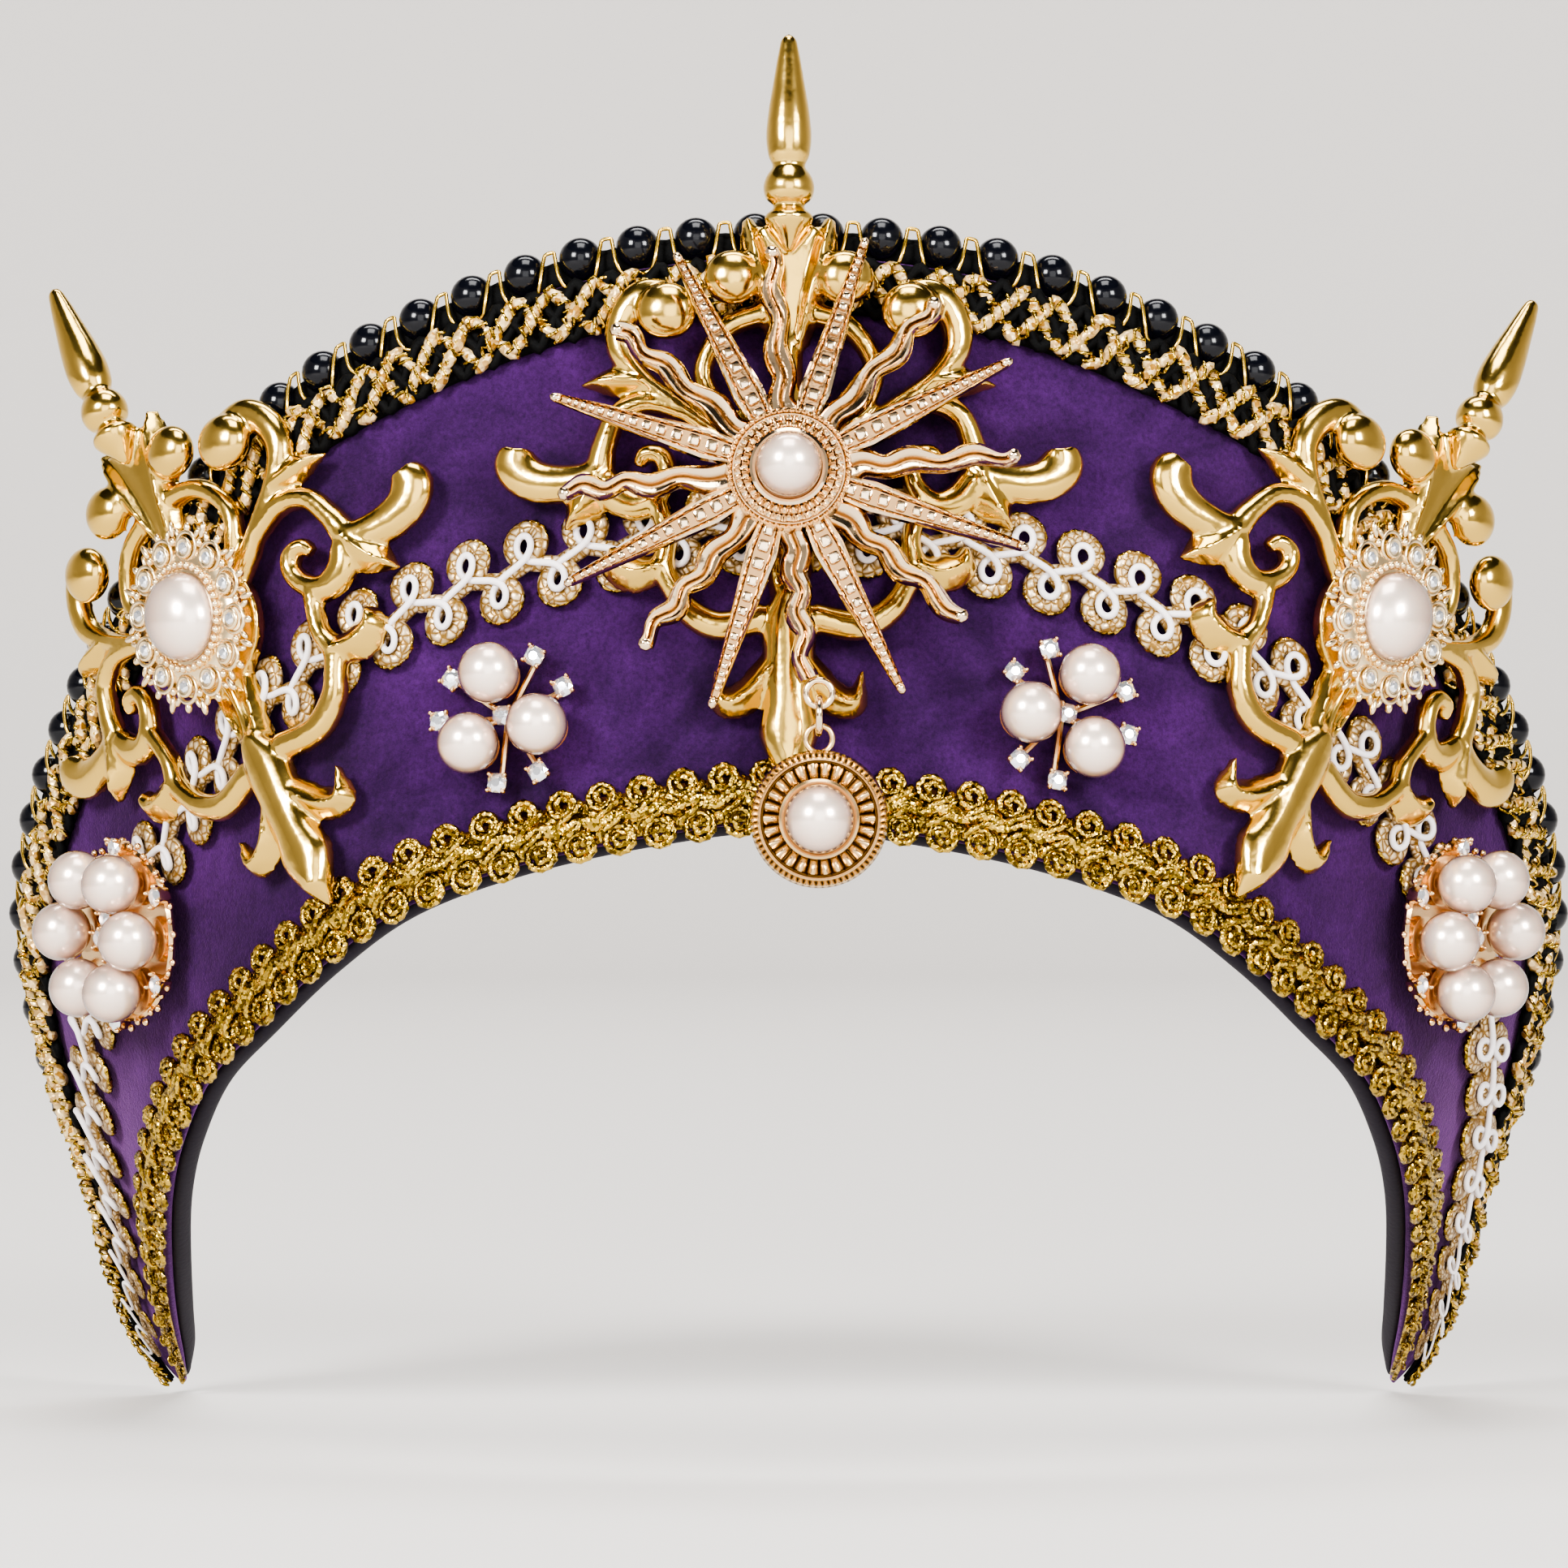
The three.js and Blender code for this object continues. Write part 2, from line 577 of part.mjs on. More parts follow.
// Sunburst with its bezel, boss and cast loop
function sunburst(loopPlace) {
  const rays = [];
  for (let k = 0; k < RAY_PAIRS; k += 1) {
    const angle = 2 * Math.PI * k / RAY_PAIRS;
    rays.push(straightRay().rotateZ(angle + THREE.MathUtils.degToRad(STRAIGHT_RAY.turn)));
    rays.push(wavyRay().rotateZ(angle + THREE.MathUtils.degToRad(WAVY_RAY.turn)));
  }
  for (const ray of rays) {
    const position = ray.getAttribute('position');
    for (let k = 0; k < position.count; k += 1) {
      position.setZ(k, position.getZ(k) - RAY_FALL * Math.hypot(position.getX(k), position.getY(k)));
    }
  }
  const boss = SUN.lift - ORNAMENT_LIFT - ORNAMENT_CORE - GAP;
  const profile = [[0, -boss], [BOSS_RADIUS, -boss], ...BEZEL];
  const bezel = turned(profile, BEZEL_SIDES).rotateX(Math.PI / 2);
  return joined([bezel, ...rays, ring(LOOP).applyMatrix4(loopPlace)]);
}
const sun = seated(SUN);
sun.rotateX(-SUN_LEAN);
sun.updateMatrix();
const rayTip = new THREE.Vector3(0, -WAVY_RAY.to, -RAY_FALL * WAVY_RAY.to + RAY_HEIGHT / 2);
const dropY = rayTip.applyMatrix4(sun.matrix).y;
const loopCenter = new THREE.Vector3(DROP_X, dropY, LOOP_Z);
const loopPlace = new THREE.Matrix4().copy(sun.matrix).invert();
loopPlace.multiply(new THREE.Matrix4().makeTranslation(loopCenter));
loopPlace.multiply(new THREE.Matrix4().makeRotationX(Math.PI / 2));
piece('sunburst', sunburst(loopPlace), paleGold, sun);
const sunPearl = flatPearl(SUN_PEARL_RADIUS, SUN_PEARL_BACK);
sunPearl.translate(0, 0, BEZEL_TOP + GAP + SUN_PEARL_BACK);
piece('sunburst_pearl', sunPearl, pearl, sun);

// Jump ring through the loop, and the drop hanging from it by its bail
const hang = GAP / 2;
const loopFloor = LOOP_Z - LOOP.radius;
const jumpZ = loopFloor + LOOP.wire + JUMP.wire + hang - JUMP.radius;
const jumpFloor = jumpZ - JUMP.radius;
const bailZ = jumpFloor + JUMP.wire + BAIL.wire + hang - BAIL.radius;
const dropZ = bailZ - BAIL.radius - DROP_RADIUS + BAIL.wire;
piece('jump_ring', ring(JUMP).rotateY(Math.PI / 2).translate(DROP_X, dropY, jumpZ), paleGold);

function drop() {
  const disk = turned(DROP, DROP_SIDES);
  const bail = ring(BAIL).rotateX(Math.PI / 2).translate(0, 0, bailZ - dropZ);
  return joined([disk, bail]);
}
piece('pendant', drop().translate(DROP_X, dropY, dropZ), paleGold);
const dropPearl = flatPearl(DROP_PEARL_RADIUS, DROP_PEARL_BACK).rotateX(Math.PI / 2);
dropPearl.translate(DROP_X, dropY - DROP_FACE - GAP - DROP_PEARL_BACK, dropZ);
piece('pendant_pearl', dropPearl, pearl);

// A flat plate whose edge runs between the places given
function plate(places, thickness) {
  const outline = new THREE.Shape(places.map(({ x, y }) => new THREE.Vector2(x, y)));
  return new THREE.ExtrudeGeometry(outline, { depth: thickness, bevelEnabled: false });
}

// Brooches: a pointed lace plate, a ring of stones and a large pearl
function brooch() {
  const edge = onRing(2 * BROOCH_STONES, 1, Math.PI / 2).map(({ x, y }, k) => {
    const reach = BROOCH_RADIUS + (k % 2 ? -BROOCH_POINT : BROOCH_POINT);
    return { x: reach * x, y: reach * y };
  });
  const stones = onRing(BROOCH_STONES, BROOCH_STONE_RING, Math.PI / 2)
    .map(({ x, y }) => stone(BROOCH_STONE_RADIUS, STONE_HEIGHT).translate(x, y, BROOCH_STONE_SINK));
  return joined([plate(edge, BROOCH_THICKNESS), ...stones]).scale(BROOCH_OVAL, 1, 1);
}

// Three pearls in cups on a star of arms, with pairs of stones between them
function trefoilPearls() {
  return onRing(3, TREFOIL.pearlRing, TREFOIL.turn);
}

function trefoil() {
  const stones = onRing(3, 1, TREFOIL.turn + Math.PI / 3).flatMap(({ x, y }) => {
    const middle = Math.atan2(y, x);
    return [middle - TREFOIL_STONE_SPREAD, middle + TREFOIL_STONE_SPREAD];
  });
  const places = stones.map((angle) => onRing(1, TREFOIL.stoneRing, angle)[0]);
  const star = stones.flatMap((angle, k) => {
    const notch = angle + (k % 2 ? Math.PI / 3 - TREFOIL_STONE_SPREAD : TREFOIL_STONE_SPREAD);
    return [places[k], onRing(1, TREFOIL_NOTCH, notch)[0]];
  });
  const cups = trefoilPearls().map(({ x, y }) => disc(CUP_RADIUS, CUP_HEIGHT, CUP_SIDES).translate(x, y, 0));
  const gems = [...places, { x: 0, y: 0 }]
    .map(({ x, y }) => stone(STONE_RADIUS, STONE_HEIGHT).translate(x, y, 0));
  return joined([plate(star, STAR_THICKNESS), ...cups, ...gems]);
}

// Six pearls on a scalloped plate, stones in the middle and on the rim
function cluster() {
  const edge = onRing(2 * CLUSTER.pearls, 1, 0).map(({ x, y }, k) => {
    const reach = k % 2 ? CLUSTER.rimRing : CLUSTER.plateRadius;
    return { x: reach * x, y: reach * y };
  });
  const rim = onRing(CLUSTER.pearls, CLUSTER.rimRing, Math.PI / CLUSTER.pearls)
    .map(({ x, y }) => stone(STONE_RADIUS, STONE_HEIGHT).translate(x, y, 0));
  const middle = onRing(CLUSTER_STONES, CLUSTER_STONE_RING, Math.PI / 4)
    .map(({ x, y }) => stone(STONE_RADIUS, STONE_HEIGHT + CLUSTER_STONE_RISE).translate(x, y, 0));
  return joined([plate(edge, CUP_HEIGHT), ...rim, ...middle]);
}

const broochShape = brooch();
const trefoilShape = trefoil();
const clusterShape = cluster();
const sides = [
  { label: 'right', way: 1, spraySeat: RIGHT_TREFOIL },
  { label: 'left', way: -1, spraySeat: LEFT_TREFOIL },
];
for (const { label, way, spraySeat } of sides) {
  const handed = (geometry) => (way > 0 ? geometry.clone() : mirrored(geometry));
  const pearlAt = (name, { x, y }, level, parent) => {
    piece(name, pearlBall(PEARL_RADIUS), pearl, parent).position.set(way * x, y, level);
  };
  const pearlLevel = CUP_HEIGHT + GAP + PEARL_RADIUS;

  const broochSeat = seated({
    s: way * RIGHT_ORNAMENT.s,
    up: RIGHT_ORNAMENT.up + BROOCH_OFFSET,
    lift: ORNAMENT_LIFT + ORNAMENT_CORE + GAP,
  });
  piece(`brooch_${label}`, handed(broochShape), paleGold, broochSeat);
  const broochPearl = flatPearl(BROOCH_PEARL_RADIUS, 0).scale(BROOCH_OVAL, 1, BROOCH_PEARL_DOME);
  broochPearl.translate(0, 0, BROOCH_THICKNESS + GAP);
  piece(`brooch_pearl_${label}`, broochPearl, pearl, broochSeat);

  const spray = seated({ ...spraySeat, up: TREFOIL.up, lift: GAP });
  piece(`trefoil_${label}`, handed(trefoilShape), paleGold, spray);
  trefoilPearls().forEach((place, k) => pearlAt(`trefoil_pearl_${label}_${k + 1}`, place, pearlLevel, spray));

  const flower = seated({
    s: way * CLUSTER.s,
    up: CLUSTER.up,
    lift: ORNAMENT_LIFT,
    turn: -way * CLUSTER_TURN,
  });
  piece(`cluster_${label}`, handed(clusterShape), paleGold, flower);
  onRing(CLUSTER.pearls, CLUSTER.pearlRing, 0)
    .forEach((place, k) => pearlAt(`cluster_pearl_${label}_${k + 1}`, place, pearlLevel, flower));
}

export default tiara;
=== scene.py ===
import math
import bpy
import numpy as np
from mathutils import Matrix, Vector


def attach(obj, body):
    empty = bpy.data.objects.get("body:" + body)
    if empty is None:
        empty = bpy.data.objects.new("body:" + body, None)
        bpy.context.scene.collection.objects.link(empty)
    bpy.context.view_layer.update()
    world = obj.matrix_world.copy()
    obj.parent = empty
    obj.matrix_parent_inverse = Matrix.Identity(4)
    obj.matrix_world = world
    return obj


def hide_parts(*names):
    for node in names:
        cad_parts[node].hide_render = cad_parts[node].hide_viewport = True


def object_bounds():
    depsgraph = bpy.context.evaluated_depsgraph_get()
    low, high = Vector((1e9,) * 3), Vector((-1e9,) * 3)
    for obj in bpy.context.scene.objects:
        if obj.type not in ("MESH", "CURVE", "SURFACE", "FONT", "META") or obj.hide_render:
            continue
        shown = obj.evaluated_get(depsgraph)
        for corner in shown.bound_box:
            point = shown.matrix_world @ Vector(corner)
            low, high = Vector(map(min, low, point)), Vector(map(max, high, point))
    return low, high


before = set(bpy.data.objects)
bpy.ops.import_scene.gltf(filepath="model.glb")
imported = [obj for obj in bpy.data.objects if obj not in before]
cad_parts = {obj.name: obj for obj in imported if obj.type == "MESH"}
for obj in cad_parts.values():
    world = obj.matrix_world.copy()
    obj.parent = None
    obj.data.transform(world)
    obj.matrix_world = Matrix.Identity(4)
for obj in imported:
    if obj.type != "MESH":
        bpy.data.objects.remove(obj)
cad_low, cad_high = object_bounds()
bpy.ops.object.select_all(action="DESELECT")

# The stage: a round sheet of pale paper under the tips that curves up into a wall on every side,
# a level long-lens camera straight in front, and five square soft lamps. Sizes are in mm.
MM = 0.001
FLOOR_DROP = 1.0
FLOOR_RADIUS = 2100.0
SWEEP_RADIUS = 600.0
SWEEP_STEPS = 24
SWEEP_SIDES = 96
WALL_HEIGHT = 2400.0


def linear(code):
    """An sRGB hex colour as the linear RGBA that sockets take."""
    parts = [int(code[k:k + 2], 16) / 255 for k in (1, 3, 5)]
    return [p / 12.92 if p <= 0.04045 else ((p + 0.055) / 1.055) ** 2.4 for p in parts] + [1.0]


def dress(node, sockets):
    """Sets a node's input sockets, each by a value or by a link from another node."""
    for name, value in sockets.items():
        if isinstance(value, bpy.types.NodeSocket):
            node.id_data.links.new(value, node.inputs[name])
        else:
            node.inputs[name].default_value = value


def add_node(tree, kind, sockets=None, stops=(), **settings):
    """A node with its settings, its sockets, and the colour stops of a ramp in rising order."""
    made = tree.nodes.new(kind)
    for name, value in settings.items():
        setattr(made, name, value)
    dress(made, sockets or {})
    for position, _ in stops[1:-1]:
        made.color_ramp.elements.new(position)
    for k, (position, code) in enumerate(stops):
        made.color_ramp.elements[k].position = position
        made.color_ramp.elements[k].color = linear(code)
    return made


def new_material(name):
    """A node material with its tree and its shader."""
    material = bpy.data.materials.new(name)
    material.use_nodes = True
    tree = material.node_tree
    return material, tree, tree.nodes["Principled BSDF"]


def skin_mesh(name, points, faces, material, uv=None, rise=None):
    """A smooth mesh piece from points in mm; it may have a UV map, and a rise of 0 in its hollows."""
    mesh = bpy.data.meshes.new(name)
    mesh.from_pydata(np.asarray(points) * MM, [], faces)
    mesh.polygons.foreach_set("use_smooth", [True] * len(mesh.polygons))
    if uv is not None:
        layer = mesh.uv_layers.new(name="along")
        layer.data.foreach_set("uv", np.asarray(uv, dtype=np.float32).ravel())
    if rise is not None:
        layer = mesh.attributes.new("rise", "FLOAT", "POINT")
        layer.data.foreach_set("value", np.asarray(rise, dtype=np.float32))
    made = bpy.data.objects.new(name, mesh)
    made.data.materials.append(material)
    bpy.context.collection.objects.link(made)
    return made


def ring_faces(rings, sides):
    """Quads between rings of sides points, as one tube without its ends."""
    start = np.arange(rings - 1)[:, None] * sides
    here = start + np.arange(sides)
    turn = start + (np.arange(sides) + 1) % sides
    return np.stack([here, turn, turn + sides, here + sides], axis=-1).reshape(-1, 4)


floor_z = cad_low.z / MM - FLOOR_DROP
bend = np.linspace(0, np.pi / 2, SWEEP_STEPS)
sweep_radii = np.append(FLOOR_RADIUS + SWEEP_RADIUS * np.sin(bend), FLOOR_RADIUS + SWEEP_RADIUS)
sweep_heights = np.append(SWEEP_RADIUS * (1 - np.cos(bend)), WALL_HEIGHT)
turn = np.linspace(0, 2 * np.pi, SWEEP_SIDES, endpoint=False)
sweep_points = np.stack([
    np.outer(sweep_radii, np.cos(turn)),
    np.outer(sweep_radii, np.sin(turn)),
    np.repeat((floor_z + sweep_heights)[:, None], SWEEP_SIDES, axis=1),
], axis=-1).reshape(-1, 3)
sweep_faces = ring_faces(len(sweep_radii), SWEEP_SIDES)[:, ::-1].tolist() + [list(range(SWEEP_SIDES))]
# Seamless paper: matt, with a faint grain of about 6 mm
paper, tree, shader = new_material("seamless_paper")
spot = add_node(tree, "ShaderNodeTexCoord").outputs["Object"]
grain = add_node(tree, "ShaderNodeTexNoise", {"Vector": spot, "Scale": 0.167 / MM, "Detail": 3.0})
tooth = add_node(tree, "ShaderNodeBump", {"Strength": 0.05, "Height": grain.outputs["Fac"]})
dress(shader, {"Base Color": linear("#d4d0cc"), "Roughness": 0.9, "Normal": tooth.outputs["Normal"]})
sweep = skin_mesh("paper_sweep", sweep_points, sweep_faces, paper)

# The lens sees the front of the band at 9.7 pixels to the millimetre
IMAGE_PIXELS = 1932
FOCAL_PIXELS = 8245
CAMERA_DISTANCE = 850.0
CAMERA_SIDE = -0.62
# The middle of the hollow, measured from the lower edge at the front
HOLLOW_CENTER = np.array([0.0, 48.0, -45.0])
camera_data = bpy.data.cameras.new("portrait_lens")
camera_data.lens = FOCAL_PIXELS / IMAGE_PIXELS * camera_data.sensor_width
camera = bpy.data.objects.new("portrait_lens", camera_data)
camera.location = MM * np.array([CAMERA_SIDE, -CAMERA_DISTANCE - HOLLOW_CENTER[1], -HOLLOW_CENTER[2]])
camera.rotation_euler = (math.pi / 2, 0, 0)
bpy.context.collection.objects.link(camera)
bpy.context.scene.camera = camera

# Lamps: name, place, what they are aimed at and width in metres, and watts
TIARA_FRONT = (0.0, 0.0, 0.05)
BACK_WALL = (0.0, 2.6, 0.5)
LAMPS = [
    ("key_box", (-0.72, -0.95, 0.55), TIARA_FRONT, 0.36, 27),
    ("fill_box", (0.72, -0.95, 0.5), TIARA_FRONT, 0.36, 20),
    ("front_card", (0.05, -1.6, 0.35), TIARA_FRONT, 0.9, 9),
    ("top_box", (0.0, -0.25, 1.1), TIARA_FRONT, 0.5, 9),
    ("sweep_light", (0.0, 0.7, 1.9), BACK_WALL, 1.2, 70),
]
for lamp_name, place, aim, width, power in LAMPS:
    lamp_data = bpy.data.lights.new(lamp_name, "AREA")
    lamp_data.size = width
    lamp_data.energy = power
    lamp = bpy.data.objects.new(lamp_name, lamp_data)
    lamp.location = place
    lamp.visible_camera = False
    way = np.subtract(aim, place)
    tilt = math.acos(-way[2] / np.linalg.norm(way))
    lamp.rotation_euler = (tilt, 0, math.atan2(way[1], way[0]) - math.pi / 2)
    bpy.context.collection.objects.link(lamp)
world = bpy.data.worlds.new("studio")
world.use_nodes = True
dress(world.node_tree.nodes["Background"], {"Color": linear("#8d8f96"), "Strength": 0.09})
bpy.context.scene.world = world
bpy.context.scene.view_settings.look = "AgX - Medium High Contrast"

# The velvet shell: stiffened buckram cut as a crescent, bent into a halo and covered in
# short-pile cotton velvet that is turned over its edges. Everything else is sewn on it.
STATIONS = np.array([
    # low edge x, y, z and bead line x, y, z, from the middle of the front to the right tip
    (0, 0, -5.8, 0, 10, 73.4),
    (18, 1, -7.8, 25.2, 12, 70.8),
    (36.4, 4, -12, 45.8, 17, 64),
    (50, 7, -17.2, 66.4, 25, 53.3),
    (60, 13, -24.2, 83, 37, 37.2),
    (69, 21, -32.4, 95, 51, 18),
    (76, 30, -39.5, 104, 64, -2),
    (80.5, 40, -48, 106.8, 73, -17),
    (83, 50, -55.5, 105.2, 82, -33),
    (84.6, 65, -65.5, 99.5, 90.5, -54),
    (85, 80, -75, 95.5, 97, -74),
    (84.4, 95, -84, 89.5, 100, -87),
], dtype=float)
RAIL_STEPS = 100
RUN_STEPS = 4000
SHELL_THICKNESS = 2.2
VELVET_THICKNESS = 1.0
BEAD_RADIUS = 2.6
BEAD_ROW = 2 * BEAD_RADIUS + 0.4
GAP = 0.3
# A wall of the band: steps along it, rows up it, steps round an edge, and its least height
SHEET = {"steps": 240, "rows": 26, "edge": 7, "least": 0.8}


def unit(vectors):
    return vectors / np.linalg.norm(vectors, axis=-1, keepdims=True)


def run_along(points):
    """The distance along a line from its first point to each of its points."""
    return np.concatenate([[0], np.cumsum(np.linalg.norm(np.diff(points, axis=0), axis=1))])


def through(points, samples):
    """A smooth curve through points, spaced by the square root of their distance."""
    ends = [2 * points[0] - points[1], *points, 2 * points[-1] - points[-2]]
    part = np.linspace(0, 1, samples, endpoint=False)[:, None]
    pieces = []
    for p0, p1, p2, p3 in zip(ends, ends[1:], ends[2:], ends[3:]):
        d0, d1, d2 = [max(np.linalg.norm(b - a), 1e-6) ** 0.5 for a, b in ((p0, p1), (p1, p2), (p2, p3))]
        t1 = ((p1 - p0) / d0 - (p2 - p0) / (d0 + d1) + (p2 - p1) / d1) * d1
        t2 = ((p2 - p1) / d1 - (p3 - p1) / (d1 + d2) + (p3 - p2) / d2) * d1
        bow = -3 * p1 + 3 * p2 - 2 * t1 - t2
        rise = 2 * p1 - 2 * p2 + t1 + t2
        pieces.append(p1 + part * (t1 + part * (bow + part * rise)))
    return np.vstack([*pieces, points[-1:]])


left_stations = STATIONS[:0:-1] * (-1, 1, 1, -1, 1, 1)
stations = np.vstack([left_stations, STATIONS]) - np.tile(HOLLOW_CENTER, 2)
rail_low = through(stations[:, :3], RAIL_STEPS)
rail_high = through(stations[:, 3:], RAIL_STEPS)
rail_s = np.linspace(-1, 1, len(rail_low))
rail_height = np.linalg.norm(rail_high - rail_low, axis=1)
rail_ruling = (rail_high - rail_low) / rail_height[:, None]
rail_table = np.hstack([
    rail_low,
    np.gradient(rail_low, rail_s, axis=0),
    rail_ruling,
    np.gradient(rail_ruling, rail_s, axis=0),
])


def on_rails(s):
    return np.stack([np.interp(s, rail_s, column) for column in rail_table.T], axis=-1)


def band_height(s):
    return np.interp(s, rail_s, rail_height)


def band_axes(s, up):
    """Directions on the band: along it, up its ruling, square to it, out of it, and mm per s."""
    row = on_rails(s)
    ruling = row[..., 6:9]
    along = row[..., 3:6] + np.asarray(up)[..., None] * row[..., 9:12]
    speed = np.linalg.norm(along, axis=-1)
    along = along / speed[..., None]
    out = unit(np.cross(along, ruling))
    return along, ruling, np.cross(out, along), out, speed


def band(s, up, lift):
    """Points of the band at s along it, up mm above its lower edge and lift mm out of the velvet."""
    s, up, lift = np.broadcast_arrays(np.asarray(s, float), up, lift)
    row = on_rails(s)
    skin = row[..., 0:3] + up[..., None] * row[..., 6:9]
    return skin + lift[..., None] * band_axes(s, up)[3]


def evenly(from_s, to_s, count, up_at):
    """count + 1 places at even distances along the band, and the length of the run."""
    fine = np.linspace(from_s, to_s, RUN_STEPS)
    run = run_along(band(fine, up_at(fine), 0.0))
    return np.interp(np.linspace(0, run[-1], count + 1), run, fine), run[-1]


def capped(rings, sides):
    """The faces of a tube of rings with both of its ends closed."""
    last = (rings - 1) * sides
    return [*ring_faces(rings, sides).tolist(), list(range(sides)), list(range(last, last + sides))]


def tidy_up(piece, *modifiers):
    """Applies modifiers, given as kind and settings, and leaves normals pointing out."""
    bpy.ops.object.select_all(action="DESELECT")
    bpy.context.view_layer.objects.active = piece
    piece.select_set(True)
    for kind, settings in modifiers:
        modifier = piece.modifiers.new(kind.lower(), kind)
        for name, value in settings.items():
            setattr(modifier, name, value)
        bpy.ops.object.modifier_apply(modifier=modifier.name)
    bpy.ops.object.mode_set(mode="EDIT")
    bpy.ops.mesh.select_all(action="SELECT")
    bpy.ops.mesh.normals_make_consistent(inside=False)
    bpy.ops.object.mode_set(mode="OBJECT")
    piece.select_set(False)
    return piece


def band_sheet(name, material, bottom, top_inset, outer, inner, rounding):
    """A wall of the band with rounded edges, from outer to inner lift."""
    along_s, _ = evenly(-1, 1, SHEET["steps"], lambda s: band_height(s) / 2)
    top = np.maximum(band_height(along_s) - top_inset, bottom + SHEET["least"])
    part = np.linspace(0, 1, SHEET["rows"])
    turn = np.linspace(0, np.pi, SHEET["edge"])[1:-1]
    edge_up = rounding * np.sin(turn)
    edge_lift = (outer + inner) / 2 + (outer - inner) / 2 * np.cos(turn)
    low = bottom + rounding
    ups = []
    for high in top - rounding:
        wall = low + (high - low) * part
        ups.append(np.concatenate([wall, high + edge_up, wall[::-1], low - edge_up]))
    face = np.ones(SHEET["rows"])
    lifts = np.concatenate([outer * face, edge_lift, inner * face, edge_lift[::-1]])
    points = band(along_s[:, None], np.array(ups), lifts)
    faces = capped(len(along_s), len(lifts))
    return tidy_up(skin_mesh(name, points.reshape(-1, 3), faces, material))


def fasten(piece, body, replaced=None):
    """Rides a piece on its body, in place of a CAD node where one is named."""
    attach(piece, body)
    if replaced:
        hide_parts(replaced)


# Cotton velvet: short upright pile, so it glows where it is seen along its surface and is brushed lighter
# and darker in patches of about 18 mm; the pile is drawn coarser than it is, 0.7 mm, so that it shows.
velvet, tree, shader = new_material("cotton_velvet")
spot = add_node(tree, "ShaderNodeTexCoord").outputs["Object"]
brushed = add_node(tree, "ShaderNodeTexNoise", {"Vector": spot, "Scale": 0.055 / MM, "Detail": 5.0,
                                                "Roughness": 0.62, "Distortion": 0.6})
nap = add_node(tree, "ShaderNodeTexNoise", {"Vector": spot, "Scale": 1.5 / MM, "Detail": 3.0,
                                            "Roughness": 0.9})
shade = add_node(tree, "ShaderNodeValToRGB", {"Fac": brushed.outputs["Fac"]},
                 [(0.3, "#190624"), (0.72, "#3c184e")])
speck = add_node(tree, "ShaderNodeMix", {0: 1.0, 6: shade.outputs["Color"], 7: nap.outputs["Fac"]},
                 data_type="RGBA", blend_type="OVERLAY")
pile = add_node(tree, "ShaderNodeBump", {"Strength": 0.45, "Distance": 0.4 * MM,
                                         "Height": nap.outputs["Fac"]})
dress(shader, {"Base Color": speck.outputs[2], "Roughness": 0.95, "Normal": pile.outputs["Normal"],
               "Sheen Weight": 0.9, "Sheen Roughness": 0.38, "Sheen Tint": linear("#a976b4"),
               "Specular IOR Level": 0.15})
# The velvet stops 1 mm above the lower edge, so the near-black lining shows there, in part as painted shade
shell = band_sheet("velvet_cover", velvet, bottom=1.0, top_inset=BEAD_ROW, outer=0.0,
                   inner=-VELVET_THICKNESS, rounding=0.45)
fasten(shell, "band", "velvet_shell")

# The lining: a dark sateen over the buckram inside the velvet, turned round the lower edge, where it is seen
# below the gimp at the sides.
# Its near-black there is partly the sateen's own colour and partly painted shade for the shadow under the
# band's edge.
LINING_OUTER = -VELVET_THICKNESS - 0.02
LINING_INNER = -SHELL_THICKNESS - 1.5
# Dark sateen: almost black, partly its own colour and partly painted shade, with a dull shine and a thread of
# 0.7 mm, coarser than it is
lining_cloth, tree, shader = new_material("dark_sateen_and_painted_shade")
spot = add_node(tree, "ShaderNodeTexCoord").outputs["Object"]
weave = add_node(tree, "ShaderNodeTexNoise", {"Vector": spot, "Scale": 1.4 / MM, "Detail": 2.0})
ridge = add_node(tree, "ShaderNodeBump", {"Strength": 0.25, "Distance": 0.2 * MM,
                                          "Height": weave.outputs["Fac"]})
# painted shade in part: the near-black base colour also stands in for the shadow below the gimp
dress(shader, {"Base Color": linear("#110a17"), "Roughness": 0.65, "Normal": ridge.outputs["Normal"],
               "Specular IOR Level": 0.25})
lining = band_sheet("inner_lining_cloth", lining_cloth, bottom=0.0, top_inset=BEAD_ROW + 0.4,
                    outer=LINING_OUTER, inner=LINING_INNER, rounding=0.9)
fasten(lining, "band", "inner_lining")

# The bottom gimp: twisted gold cord coiled into a row of discs along each edge, with strands that
# lean from one row to the other. It is stitched along the lower edge of the velvet.
TRIM_END = 0.985
FULL_TRIM_HEIGHT = 38
TIP_HEIGHT = 6
LEAST_FIT = 0.35
BOTTOM_GIMP = {"width": 9.7, "pitch": 5.2, "overhang": 0.7, "row": 2.78}
TAPE = {"step": 1.2, "share": 0.6, "lift": 0.3, "half": 0.3}
# The discs: where the first stands and how far the rows are staggered, in pitches; radius, and how much
# larger it is below; cord radius, turns, share of the cord in the outer turn, and how far it winds in
COIL = {"first": 0.35, "stagger": 0.07, "radius": 1.62, "larger": 0.1, "cord": 0.46, "turns": 2,
        "outer": 0.42, "inward": 0.8, "tight": 0.9, "lift": 0.7, "climb": 0.5, "steps": 44}
# The strands between the rows: mm along from a disc, half their run and its curl, where they lie across
LEAN = {"cord": 0.42, "from": 0.9, "run": 1.5, "curl": 0.5, "middle": 0.22, "across": 0.34, "lift": 1.9,
        "arch": 0.7, "steps": 14}
SPINE = {"radius": 0.95, "flat": 0.8, "sway": 0.07, "lift": 1.2}
CORD_STEP = 0.4
